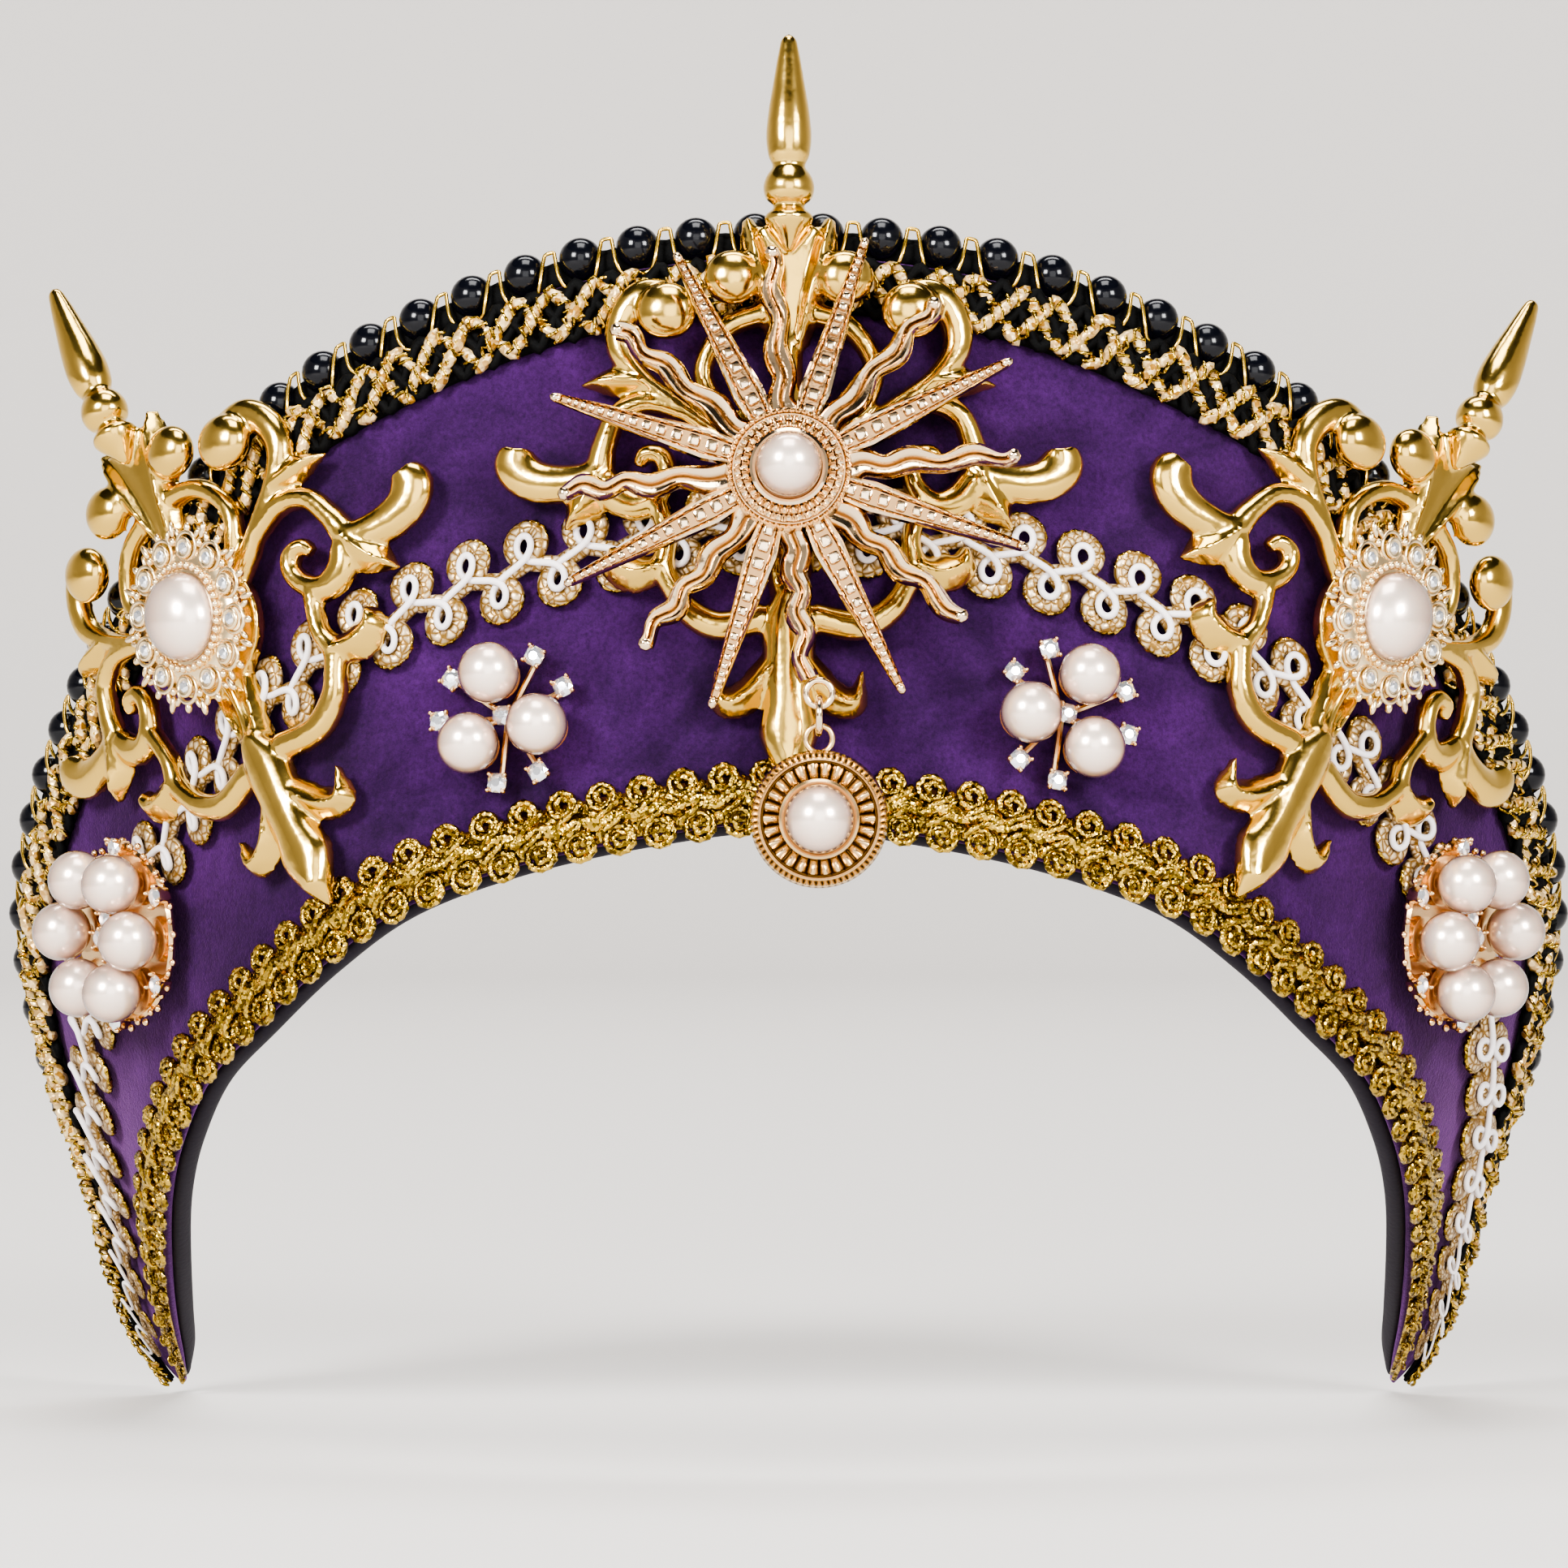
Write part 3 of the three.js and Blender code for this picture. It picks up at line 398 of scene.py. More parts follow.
# The lay of the twisted cords: plies, mm for a turn of one ply, and how far the plies stand out
GIMP_LAY = (2, 1.2, 0.24)
SPINE_LAY = (3, 6.5, 0.3)


def trim_scale(s):
    return np.minimum(1, (band_height(s) - TIP_HEIGHT) / (FULL_TRIM_HEIGHT - TIP_HEIGHT))


def fitted(half, full_half):
    """How much a cord shrinks where its trim narrows towards the tips."""
    return np.clip(half / full_half, LEAST_FIT, 1)


def bottom_edges(s):
    return 0.0 * s, BOTTOM_GIMP["width"] * trim_scale(s)


def hung_edges(s):
    return [edge - BOTTOM_GIMP["overhang"] * trim_scale(s) for edge in bottom_edges(s)]


def trim_layer(edges, end):
    """A function that lays mm along, -1 to 1 across and mm of lift on a trim, and the trim's length."""
    table, length = evenly(-end, end, RUN_STEPS, lambda s: sum(edges(s)) / 2)
    runs = np.linspace(0, length, len(table))

    def lay(run, across, lift):
        s = np.interp(run, runs, table)
        low, high = edges(s)
        up = (low + high) / 2 + across * (high - low) / 2
        return band(s, up, lift), band_axes(s, up)[3], (high - low) / 2
    return lay, length


def cord_skin(path, out, across, depth, sides, plies=0, twist=1.0, ply=0.14):
    """Points, faces, UVs and sides of a cord along path; plies and twist in mm give it a rope's lay."""
    way = unit(np.gradient(path, axis=0))
    side = unit(np.cross(way, out))
    rise = np.cross(side, way)
    run = run_along(path)
    angle = np.linspace(0, 2 * np.pi, sides, endpoint=False)
    swell = 1 + ply * np.cos(plies * angle[None, :] - 2 * np.pi * run[:, None] / twist) if plies else 1.0
    wide = (np.broadcast_to(across, run.shape)[:, None] * np.cos(angle) * swell)[..., None]
    tall = (np.broadcast_to(depth, run.shape)[:, None] * np.sin(angle) * swell)[..., None]
    points = path[:, None, :] + wide * side[:, None, :] + tall * rise[:, None, :]
    step = np.arange(sides)
    here = np.stack([np.repeat(run[:-1], sides), np.repeat(run[1:], sides)], axis=1)
    turn = np.tile(np.stack([step, step + 1], axis=1) / sides, (len(path) - 1, 1))
    uv = np.stack([here[:, [0, 0, 1, 1]], turn[:, [0, 1, 1, 0]]], axis=-1)
    return points.reshape(-1, 3), ring_faces(len(path), sides), uv, sides


def joined_cords(name, cords, material):
    """One mesh of several cords, with their ends closed."""
    all_points = []
    all_faces = []
    all_uv = []
    start = 0
    for points, quads, uv, sides in cords:
        all_points.append(points)
        all_faces += (quads + start).tolist()
        all_uv.append(uv.reshape(-1, 2))
        for first in (start, start + len(points) - sides):
            all_faces.append(list(range(first, first + sides)))
            all_uv.append(np.zeros((sides, 2)))
        start += len(points)
    return tidy_up(skin_mesh(name, np.vstack(all_points), all_faces, material, np.vstack(all_uv)))


# Metallic gimp thread: flat gold foil wound on a cotton core, whose tilted flecks of about 0.5 mm sparkle;
# their bright and dark colours are partly painted glints and painted shade
gold_thread, tree, shader = new_material("gold_foil_thread")
spot = add_node(tree, "ShaderNodeTexCoord").outputs["Object"]
foil = add_node(tree, "ShaderNodeTexVoronoi", {"Vector": spot, "Scale": 2.1 / MM})
# painted glints and painted shade in part: each fleck's base colour is picked from dark brown to bright gold
tone = add_node(tree, "ShaderNodeValToRGB", {"Fac": foil.outputs["Color"]},
                [(0.25, "#54400c"), (0.8, "#dcb852")])
tilt = add_node(tree, "ShaderNodeBump", {"Strength": 0.5, "Distance": 0.3 * MM,
                                         "Height": foil.outputs["Distance"]})
dress(shader, {"Base Color": tone.outputs["Color"], "Metallic": 1.0, "Roughness": 0.24,
               "Normal": tilt.outputs["Normal"]})
lay, length = trim_layer(hung_edges, TRIM_END)
pitch = BOTTOM_GIMP["pitch"]
gimp_half = BOTTOM_GIMP["width"] / 2
path, out, half = lay(np.arange(0, length, TAPE["step"]), 0.0, GAP + TAPE["lift"])
cords = [cord_skin(path, out, TAPE["share"] * half, TAPE["half"], 8)]
part = np.linspace(0, 1, COIL["steps"])
lean = np.linspace(-1, 1, LEAN["steps"])
for k in range(2 * int(length / pitch)):
    upper = 1 if k % 2 else -1
    middle = (k / 2 + COIL["first"] + COIL["stagger"] * upper) * pitch
    fit = fitted(lay(middle, 0.0, 0.0)[2], gimp_half)
    angle = upper * np.pi * (2 * COIL["turns"] * part - 0.5)
    wound_in = np.clip((part - COIL["outer"]) / (1 - COIL["outer"]), 0, 1) ** COIL["tight"]
    radius = (COIL["radius"] + COIL["larger"] * (1 - upper)) * (1 - COIL["inward"] * wound_in)
    run = middle + fit ** 0.5 * radius * np.cos(angle)
    across = (upper * BOTTOM_GIMP["row"] + radius * np.sin(angle)) / gimp_half
    path, out, _ = lay(run, across, GAP + COIL["lift"] + COIL["climb"] * part)
    cords.append(cord_skin(path, out, COIL["cord"] * fit, COIL["cord"] * fit, 8, *GIMP_LAY))
    wriggle = LEAN["run"] * lean + LEAN["curl"] * np.sin(np.pi * lean)
    run = middle + upper * LEAN["from"] + fit ** 0.5 * wriggle
    across = LEAN["middle"] * upper + LEAN["across"] * lean
    path, out, _ = lay(run, across, GAP + LEAN["lift"] - LEAN["arch"] * lean ** 2)
    cords.append(cord_skin(path, out, LEAN["cord"] * fit, LEAN["cord"] * fit, 8, *GIMP_LAY))
run = np.arange(0, length, CORD_STEP)
path, out, half = lay(run, SPINE["sway"] * np.sin(2 * np.pi * run / pitch), GAP + SPINE["lift"])
spine = SPINE["radius"] * fitted(half, gimp_half)
cords.append(cord_skin(path, out, spine, SPINE["flat"] * spine, 12, *SPINE_LAY))
fasten(joined_cords("bottom_gimp_cord", cords, gold_thread), "band", "bottom_gimp")

# The middle gimp: a flat gold mesh tube laid in loops, with a smooth white scroll cord couched
# on top of it. It runs along the middle of the velvet and behind the cast ornaments.
MIDDLE_GIMP = {"width": 12.0, "pitch": 7.95, "end": 0.95, "rise": 0.8}
BRAID_WIDTH = 8
SCROLL_STEPS = 60
LOBE_ROUND = 0.16
MESH_HALF_WIDTH = 1.12
MESH_HALF_DEPTH = 0.72
EDGE_RADIUS = 0.42
EDGE_LAY = (2, 1.3, 0.3)
SCROLL_HALF_WIDTH = 0.45
SCROLL_HALF_DEPTH = 0.42


def braid_edges(s):
    high = band_height(s) - BEAD_ROW
    return high - BRAID_WIDTH * trim_scale(s), high


def middle_edges(s):
    floor = bottom_edges(s)[1] + 2 * GAP
    ceiling = braid_edges(s)[0] - 2 * GAP
    rise = MIDDLE_GIMP["rise"] * trim_scale(s)
    half = np.minimum(MIDDLE_GIMP["width"], ceiling - floor - 2 * rise) / 2
    middle = (floor + ceiling) / 2 + rise
    return middle - half, middle + half


def scroll(reach, bow, lift, rise):
    """A figure of eight along the gimp: reach across it from 0 to 1, bow mm of overlap in each loop."""
    pitch = MIDDLE_GIMP["pitch"]
    loops = int(length / pitch)
    t = np.linspace(0, loops * 2 * np.pi, loops * SCROLL_STEPS)
    run = (length - loops * pitch) / 2 + pitch * t / (2 * np.pi) + bow * np.sin(2 * t)
    across = (np.sin(t) - LOBE_ROUND * np.sin(3 * t)) / (1 + LOBE_ROUND)
    return lay(run, reach * across, GAP + lift + rise * np.sin(2 * t))


# Gold mesh: an open net of gold and cream threads, bright in its meshes of about 0.9 mm
gold_mesh, tree, shader = new_material("gold_mesh_tube")
spot = add_node(tree, "ShaderNodeTexCoord").outputs["UV"]
net = add_node(tree, "ShaderNodeMapping", {"Vector": spot, "Scale": (1.0, 5.0, 1.0)})
cells = add_node(tree, "ShaderNodeTexVoronoi", {"Vector": net.outputs["Vector"], "Scale": 1.15},
                 feature="DISTANCE_TO_EDGE")
tone = add_node(tree, "ShaderNodeValToRGB", {"Fac": cells.outputs["Distance"]},
                [(0.04, "#7a5920"), (0.3, "#dcc5a0")])
knots = add_node(tree, "ShaderNodeBump", {"Strength": 0.9, "Distance": 0.4 * MM,
                                          "Height": cells.outputs["Distance"]})
dress(shader, {"Base Color": tone.outputs["Color"], "Metallic": 0.55, "Roughness": 0.32,
               "Normal": knots.outputs["Normal"]})
# White scroll cord: tightly wound rayon over cotton, almost smooth
white_cord, tree, shader = new_material("white_rayon_cord")
spot = add_node(tree, "ShaderNodeTexCoord").outputs["UV"]
turns = add_node(tree, "ShaderNodeMapping", {"Vector": spot, "Scale": (4.0, 1.0, 1.0)})
rayon = add_node(tree, "ShaderNodeTexWave", {"Vector": turns.outputs["Vector"], "Scale": 1.0})
wind = add_node(tree, "ShaderNodeBump", {"Strength": 0.25, "Distance": 0.1 * MM,
                                         "Height": rayon.outputs["Fac"]})
dress(shader, {"Base Color": linear("#e9e2e2"), "Roughness": 0.45, "Normal": wind.outputs["Normal"],
               "Sheen Weight": 0.3})
lay, length = trim_layer(middle_edges, MIDDLE_GIMP["end"])
path, out, half = scroll(reach=0.82, bow=3.0, lift=1.1, rise=0.35)
fit = fitted(half, MIDDLE_GIMP["width"] / 2)
mesh_tube = cord_skin(path, out, MESH_HALF_WIDTH * fit, MESH_HALF_DEPTH * fit, 10)
fasten(joined_cords("middle_gimp_mesh", [mesh_tube], gold_mesh), "band", "middle_gimp")
path, out, _ = scroll(reach=0.96, bow=3.75, lift=1.0, rise=0.35)
mesh_edge = cord_skin(path, out, EDGE_RADIUS * fit, EDGE_RADIUS * fit, 6, *EDGE_LAY)
fasten(joined_cords("middle_gimp_edge", [mesh_edge], gold_thread), "band")
path, out, _ = scroll(reach=0.66, bow=1.95, lift=2.2, rise=0.5)
scroll_cord = cord_skin(path, out, SCROLL_HALF_WIDTH * fit, SCROLL_HALF_DEPTH * fit, 8)
fasten(joined_cords("middle_gimp_scroll", [scroll_cord], white_cord), "band")

# The top braid: cream-gold cords plaited over black ones on a black ground, with fine gold
# thread between them. It is stitched below the beads.
PLAIT_PITCH = 10.9
PLAIT_CROSS = 0.42
CREAM = {"reach": 0.86, "lift": 1.35, "wave": 0.45}
BLACK = {"reach": 0.98, "lift": 0.9, "wave": 0.0}
BLACK_START = 0.25
BLACK_RADIUS = 0.75
BLACK_LAY = (2, 2.6, 0.16)
GROUND = {"step": 1.0, "share": 0.9, "lift": 0.35, "half": 0.35}
STITCH = {"length": 3.8, "radius": 0.84, "step": 2.9, "stray": 0.12, "least": 0.9, "most": 1.1}
WINDING = {"radius": 0.92, "thread": 0.24}
# How a strand drifts: in pitches along, in mm of lift, and steps from one drift to the next
DRIFT = {"along": 0.02, "lift": 0.08, "steps": 12}
CORNER_ROUND = 0.985
# Cream-gold cord: foil flecks of about 0.7 mm on cream rayon, so it is dull and bright by turns
cream_cord, tree, shader = new_material("cream_gold_cord")
spot = add_node(tree, "ShaderNodeTexCoord").outputs["Object"]
fleck = add_node(tree, "ShaderNodeTexVoronoi", {"Vector": spot, "Scale": 1.5 / MM})
tone = add_node(tree, "ShaderNodeValToRGB", {"Fac": fleck.outputs["Color"]},
                [(0.22, "#9c6e1e"), (0.55, "#e8ca92")])
strand = add_node(tree, "ShaderNodeBump", {"Strength": 0.7, "Distance": 0.3 * MM,
                                           "Height": fleck.outputs["Distance"]})
dress(shader, {"Base Color": tone.outputs["Color"], "Metallic": 0.5, "Roughness": 0.32,
               "Normal": strand.outputs["Normal"]})
# Black rayon cord: soft black fibres of about 0.5 mm, nearly without shine
black_cord, tree, shader = new_material("black_rayon_cord")
spot = add_node(tree, "ShaderNodeTexCoord").outputs["Object"]
fibre = add_node(tree, "ShaderNodeTexNoise", {"Vector": spot, "Scale": 2.2 / MM, "Detail": 2.0})
fuzz = add_node(tree, "ShaderNodeBump", {"Strength": 0.4, "Distance": 0.2 * MM,
                                         "Height": fibre.outputs["Fac"]})
dress(shader, {"Base Color": linear("#020202"), "Roughness": 0.7, "Normal": fuzz.outputs["Normal"],
               "Specular IOR Level": 0.1})
lay, length = trim_layer(braid_edges, TRIM_END)
chance = np.random.default_rng(7)


def wander(count, amount):
    """Slow uneven drift, as hand-laid cord has."""
    knots = chance.normal(0, amount, count // DRIFT["steps"] + 2)
    return np.interp(np.arange(count) / DRIFT["steps"], np.arange(len(knots)), knots)


def model_of(piece):
    """The points in mm and the faces of a modelled piece, which is then removed."""
    points = np.array([v.co for v in piece.data.vertices]) / MM
    faces = [list(p.vertices) for p in piece.data.polygons]
    bpy.data.objects.remove(piece)
    return points, faces


def copies(model, places):
    """Points and faces of many copies of a model; each place is a 3 by 3 turn and a point in mm."""
    points, faces = model
    all_points = [points @ turn.T + place for turn, place in places]
    all_faces = [[k + n * len(points) for k in face] for n in range(len(places)) for face in faces]
    return np.vstack(all_points), all_faces


def strand_path(offset, reach, lift, wave):
    """The line of one strand: across the braid and back once a pitch, and its fit to the braid."""
    run = np.arange(0, length, CORD_STEP)
    t = 2 * np.pi * (run / PLAIT_PITCH + offset + wander(len(run), DRIFT["along"]))
    zig = 2 / np.pi * np.arcsin(CORNER_ROUND * np.sin(t))
    lift = GAP + lift + wave * np.cos(t) + wander(len(run), DRIFT["lift"])
    path, out, half = lay(run, reach * zig, lift)
    return path, out, fitted(half, BRAID_WIDTH / 2)


def plait(offset):
    """A twisted black strand."""
    path, out, fit = strand_path(offset, **BLACK)
    return cord_skin(path, out, BLACK_RADIUS * fit, BLACK_RADIUS * fit, 7, *BLACK_LAY)


def winding(offset, start):
    """Fine thread wound round the line of a cream strand, from a start angle in turns."""
    path, out, fit = strand_path(offset, **CREAM)
    side = unit(np.cross(unit(np.gradient(path, axis=0)), out))
    turn = 2 * np.pi * (run_along(path) / STITCH["step"] + start)
    round_strand = np.cos(turn)[:, None] * side + np.sin(turn)[:, None] * out
    wound = path + WINDING["radius"] * fit[:, None] * round_strand
    return cord_skin(wound, out, WINDING["thread"], WINDING["thread"], 5)


def stitches(offset):
    """Turns and places of the short cream stitches that lie end to end along a strand."""
    path, out, fit = strand_path(offset, **CREAM)
    run = run_along(path)
    full_size = np.array([STITCH["length"] / 2, STITCH["radius"], STITCH["radius"]])
    places = []
    for at in np.arange(STITCH["length"], run[-1] - STITCH["length"], STITCH["step"]):
        k = int(np.searchsorted(run, at))
        way = unit(path[k + 1] - path[k - 1] + chance.normal(0, STITCH["stray"], 3))
        side = unit(np.cross(way, out[k]))
        size = full_size * fit[k] * chance.uniform(STITCH["least"], STITCH["most"])
        places.append((np.stack([way, side, np.cross(side, way)], axis=1) * size, path[k]))
    return places


bpy.ops.mesh.primitive_uv_sphere_add(segments=8, ring_count=6, radius=1 * MM)
grain_model = model_of(bpy.context.object)
cream_skin = copies(grain_model, stitches(0.0) + stitches(PLAIT_CROSS))
fasten(tidy_up(skin_mesh("braid_cream_stitches", *cream_skin, cream_cord)), "band", "top_braid")
wound = [winding(offset, start) for offset in (0.0, PLAIT_CROSS) for start in (0.0, 0.5)]
fasten(joined_cords("braid_gold_thread", wound, gold_thread), "band")
path, out, half = lay(np.arange(0, length, GROUND["step"]), 0.0, GAP + GROUND["lift"])
ground = cord_skin(path, out, GROUND["share"] * half, GROUND["half"], 10)
black_strands = [plait(BLACK_START), plait(BLACK_START + PLAIT_CROSS), ground]
fasten(joined_cords("braid_black_strands", black_strands, black_cord), "band")

# The beads: round black glass on a thread along the upper edge, each one held in a loop of
# thin gold wire that runs under the beads and up between them.
BEAD_PITCH = 7.55
BEAD_START = 0.002
BEAD_END = 0.79
BEAD_BALL = 2.85
BEAD_THREAD_LAY = (2, 2.0)
WIRE_RADIUS = 0.27
SIDES = (("right", 1), ("left", -1))
# One bead of the wire, from under it to under the next: share of the pitch, bead radii up, mm of lift
HAIRPIN = np.array([
    (-0.5, -1.5, 0.5), (-0.3, -1.42, 0.6), (-0.18, -0.9, 1.2), (-0.13, -0.2, 0.9), (-0.1, 0.3, 0.4),
    (-0.05, 0.62, 0.0), (0.05, 0.62, 0.0), (0.1, 0.3, 0.4), (0.13, -0.2, 0.9), (0.18, -0.9, 1.2),
    (0.3, -1.42, 0.6),
])
# What holds the beads: mm up from their middle and of lift, then half height and half thickness
BACKING = [(0.0, -SHELL_THICKNESS / 2, 0.5, 0.5), (-1.5, -0.9, 1.6, 0.6)]
# Black glass: a sharp white shine on black, a little duller in clouds of about 4 mm
jet, tree, shader = new_material("black_glass")
spot = add_node(tree, "ShaderNodeTexCoord").outputs["Object"]
cloud = add_node(tree, "ShaderNodeTexNoise", {"Vector": spot, "Scale": 0.26 / MM, "Detail": 2.0})
dull = add_node(tree, "ShaderNodeMapRange", {"Value": cloud.outputs["Fac"], "To Min": 0.08, "To Max": 0.22})
dress(shader, {"Base Color": linear("#07080e"), "Roughness": dull.outputs["Result"],
               "Specular IOR Level": 0.3})


def bead_up(s):
    return band_height(s) - BEAD_RADIUS


def bead_places(way):
    """The places of the beads on one side, and the true distance between them."""
    _, run = evenly(BEAD_START, BEAD_END, 2, bead_up)
    count = int(round(run / BEAD_PITCH))
    places, _ = evenly(BEAD_START, BEAD_END, 2 * count, bead_up)
    return way * places[1::2], run / count


bpy.ops.mesh.primitive_uv_sphere_add(segments=20, ring_count=12, radius=BEAD_BALL * MM)
bead_model = model_of(bpy.context.object)
for side_name, way in SIDES:
    places, _ = bead_places(way)
    centers = band(places, bead_up(places), -SHELL_THICKNESS / 2)
    bead_skin = copies(bead_model, [(np.eye(3), center) for center in centers])
    beads = tidy_up(skin_mesh(f"beads_{side_name}", *bead_skin, jet))
    fasten(beads, "band", f"bead_string_{side_name}")
# Gold wire: thin brass, drawn smooth, with a soft shine that changes every millimetre or two
gold_wire, tree, shader = new_material("drawn_brass_wire")
spot = add_node(tree, "ShaderNodeTexCoord").outputs["Object"]
rub = add_node(tree, "ShaderNodeTexNoise", {"Vector": spot, "Scale": 0.7 / MM})
dull = add_node(tree, "ShaderNodeMapRange", {"Value": rub.outputs["Fac"], "To Min": 0.15, "To Max": 0.35})
dress(shader, {"Base Color": linear("#e8bf55"), "Metallic": 1.0, "Roughness": dull.outputs["Result"]})
wires = []
backing = []
for _, way in SIDES:
    places, pitch = bead_places(way)
    fine, run = evenly(BEAD_START, BEAD_END, RUN_STEPS, bead_up)
    line = through(np.vstack([HAIRPIN + (k, 0, 0) for k in range(len(places))]), 4)
    s = way * np.interp(line[:, 0] * pitch, np.linspace(0, run, len(fine)), fine)
    path = band(s, bead_up(s) + BEAD_RADIUS * line[:, 1], line[:, 2])
    wires.append(cord_skin(path, band_axes(s, bead_up(s))[3], WIRE_RADIUS, WIRE_RADIUS, 6))
    s = way * evenly(BEAD_START, BEAD_END, 260, bead_up)[0]
    for up, lift, tall, thick in BACKING:
        path = band(s, bead_up(s) + up, lift)
        backing.append(cord_skin(path, band_axes(s, bead_up(s))[3], tall, thick, 8, *BEAD_THREAD_LAY))
fasten(joined_cords("bead_wire", wires, gold_wire), "band")
fasten(joined_cords("bead_thread", backing, black_cord), "band")

# The filigree ornaments: thin polished gilt castings of scrolls, leaves and balls with a turned
# spike on top. One model, bent to the band three times and sewn through to the velvet.
ORNAMENT_LIFT = 2.6
# Each ornament: its place along and up the band, and its turn in degrees
ORNAMENTS = [("center", 0.0, 46.8, 0.0), ("right", 0.348, 47.8, -4.5), ("left", -0.348, 47.8, 2.0)]
PLATE_RADIUS = 9.0
PLATE_THICKNESS = 1.8
STEM = 2.4
LEAF = 2.8
HORN = 3.6
# Half of the ornament: how tall a stroke stands, then its path as x, y and half-width
STROKES = [
    (HORN, [(1.2, 15, 1.4), (2.8, 22, 2.0), (4.3, 28, 1.9), (5.2, 31.6, 0.8)]),
    (STEM, [(2, 19.5, 1.6), (7.6, 17.4, 1.5), (10.7, 11.6, 1.35), (7, 4, 1.6)]),
    (STEM, [(14.6, 22.4, 1.6), (18.5, 21.8, 2.1), (20.8, 18.6, 2.1), (21, 14.8, 1.9), (18.2, 11, 1.45),
            (14.2, 7.8, 1.45), (9, 4, 1.7), (4, 2, 2)]),
    (LEAF, [(18.6, 10.6, 1.7), (22, 10.8, 2.1), (26.2, 10.4, 0.25)]),
    (STEM, [(12, 6.2, 1.4), (17.8, 7.9, 1.5), (21.4, 6.4, 1.55), (23.2, 2.4, 1.7), (24.2, -1, 2.1),
            (29, -2.2, 2.6), (33.0, -1.3, 2.9), (34.6, 0.6, 3.0), (34.4, 2.6, 2.2)]),
    (LEAF, [(23.6, -0.6, 1.8), (25.4, -4.4, 3.0), (28.2, -8.4, 0.25)]),
    (STEM, [(23, -1.8, 1.8), (21.4, -4.4, 2.2), (18.6, -5.4, 2.0), (16.2, -3.6, 1.6), (15.2, -1, 1.4),
            (16, 1, 1.4), (18, 1.2, 1.2), (18.8, -0.4, 0.8)]),
    (STEM, [(16.8, -4.2, 1.4), (15.7, -7.6, 1.3), (15.2, -10.4, 1.35), (15.7, -13.4, 1.6),
            (14.4, -16.4, 1.55), (12.8, -18.8, 1.8), (9, -21, 2.0), (3, -20, 2.0)]),
    (LEAF, [(15.8, -13.2, 1.6), (19, -14, 2.7), (21.6, -13, 2.4), (22.2, -10.6, 0.7)]),
    (LEAF, [(1.6, -25.4, 2), (5.2, -30, 2.4), (8, -31, 1.9), (9.2, -26.8, 0.35)]),
    (LEAF, [(1.2, -17.5, 1.3), (2, -12.5, 1.3), (2.8, -7.5, 1)]),
]
AXIS_STROKES = [
    (2.1, [(0, 5, 1.8), (0, 17, 2.1), (0, 22.5, 3.5), (0, 27, 4.9), (0, 30.4, 5.4)]),
    (3.2, [(0, 6, 1.5), (0, 14, 1.4), (0, 20, 0.8)]),
    (3.4, [(0, -5, 2), (0, -11, 1.1), (0, -15.5, 1.4), (0, -20, 3.3), (0, -26, 3.3), (0, -31, 3.2),
           (0, -35, 3.8), (0, -38.6, 2.4), (0, -42.2, 0.25)]),
]
STROKE_STEPS = 10
STROKE_DOME = 9
LEAST_STROKE = 0.2
# Balls as x, y and radius, and the spike as radius and y
BALLS = [(6.9, 23.6, 3.55), (15.0, 19.4, 3.75)]
BALL_HEIGHT = 5.0
SPIKE = np.array([
    (0.4, 26.6), (1.5, 28.4), (2.6, 30), (3.05, 31.2), (1.76, 32.6), (2.75, 33.5), (3.15, 35.05),
    (2.75, 36.6), (1.98, 37.8), (2.5, 39.1), (2.8, 41.6), (2.5, 45.2), (2, 48.4), (1.5, 51.6),
    (1.15, 53.5), (0.9, 54.5), (0.3, 55.1),
])
SPIKE_LIFT = 3.15
WALK_STEPS = 30


def swept(line, half, side, rise):
    """Points of a cast section, side from -1 to 1 and rise in mm, swept along a flat line."""
    way = unit(np.gradient(line, axis=0))
    x = line[:, 0, None] - way[:, 1, None] * side * half[:, None]
    y = line[:, 1, None] + way[:, 0, None] * side * half[:, None]
    return np.stack([x, y, np.broadcast_to(rise, x.shape)], axis=-1).reshape(-1, 3)


def stroke_skin(tall, path, hand=1):
    """A cast stroke: a flat-backed domed section along a drawn path, lower where it is narrow.

    Leaves and horns come to a ridge, stems are round."""
    line = through(np.array(path, float) * (hand, 1, 1), STROKE_STEPS)
    half = np.maximum(line[:, 2], LEAST_STROKE)
    height = np.minimum(tall, 0.6 + 1.4 * half)
    angle = np.linspace(0, np.pi, STROKE_DOME)
    side = -np.cos(angle)
    rise = 1 - np.abs(side) ** 1.3 if tall in (LEAF, HORN) else np.sin(angle) ** 0.8
    return swept(line[:, :2], half, side, rise * height[:, None]), capped(len(line), STROKE_DOME)


def merged(skins):
    """Points and faces of several skins as one."""
    start = np.cumsum([0] + [len(points) for points, _ in skins])
    faces = [[k + first for k in face] for (_, some), first in zip(skins, start) for face in some]
    return np.vstack([points for points, _ in skins]), faces


def lathe(profile, sides):
    """A body of revolution about z from radius and height, closed at both ends."""
    angle = np.linspace(0, 2 * np.pi, sides, endpoint=False)
    rings = [[(r * np.cos(a), r * np.sin(a), z) for a in angle] for r, z in profile]
    return np.array(rings).reshape(-1, 3), capped(len(profile), sides)


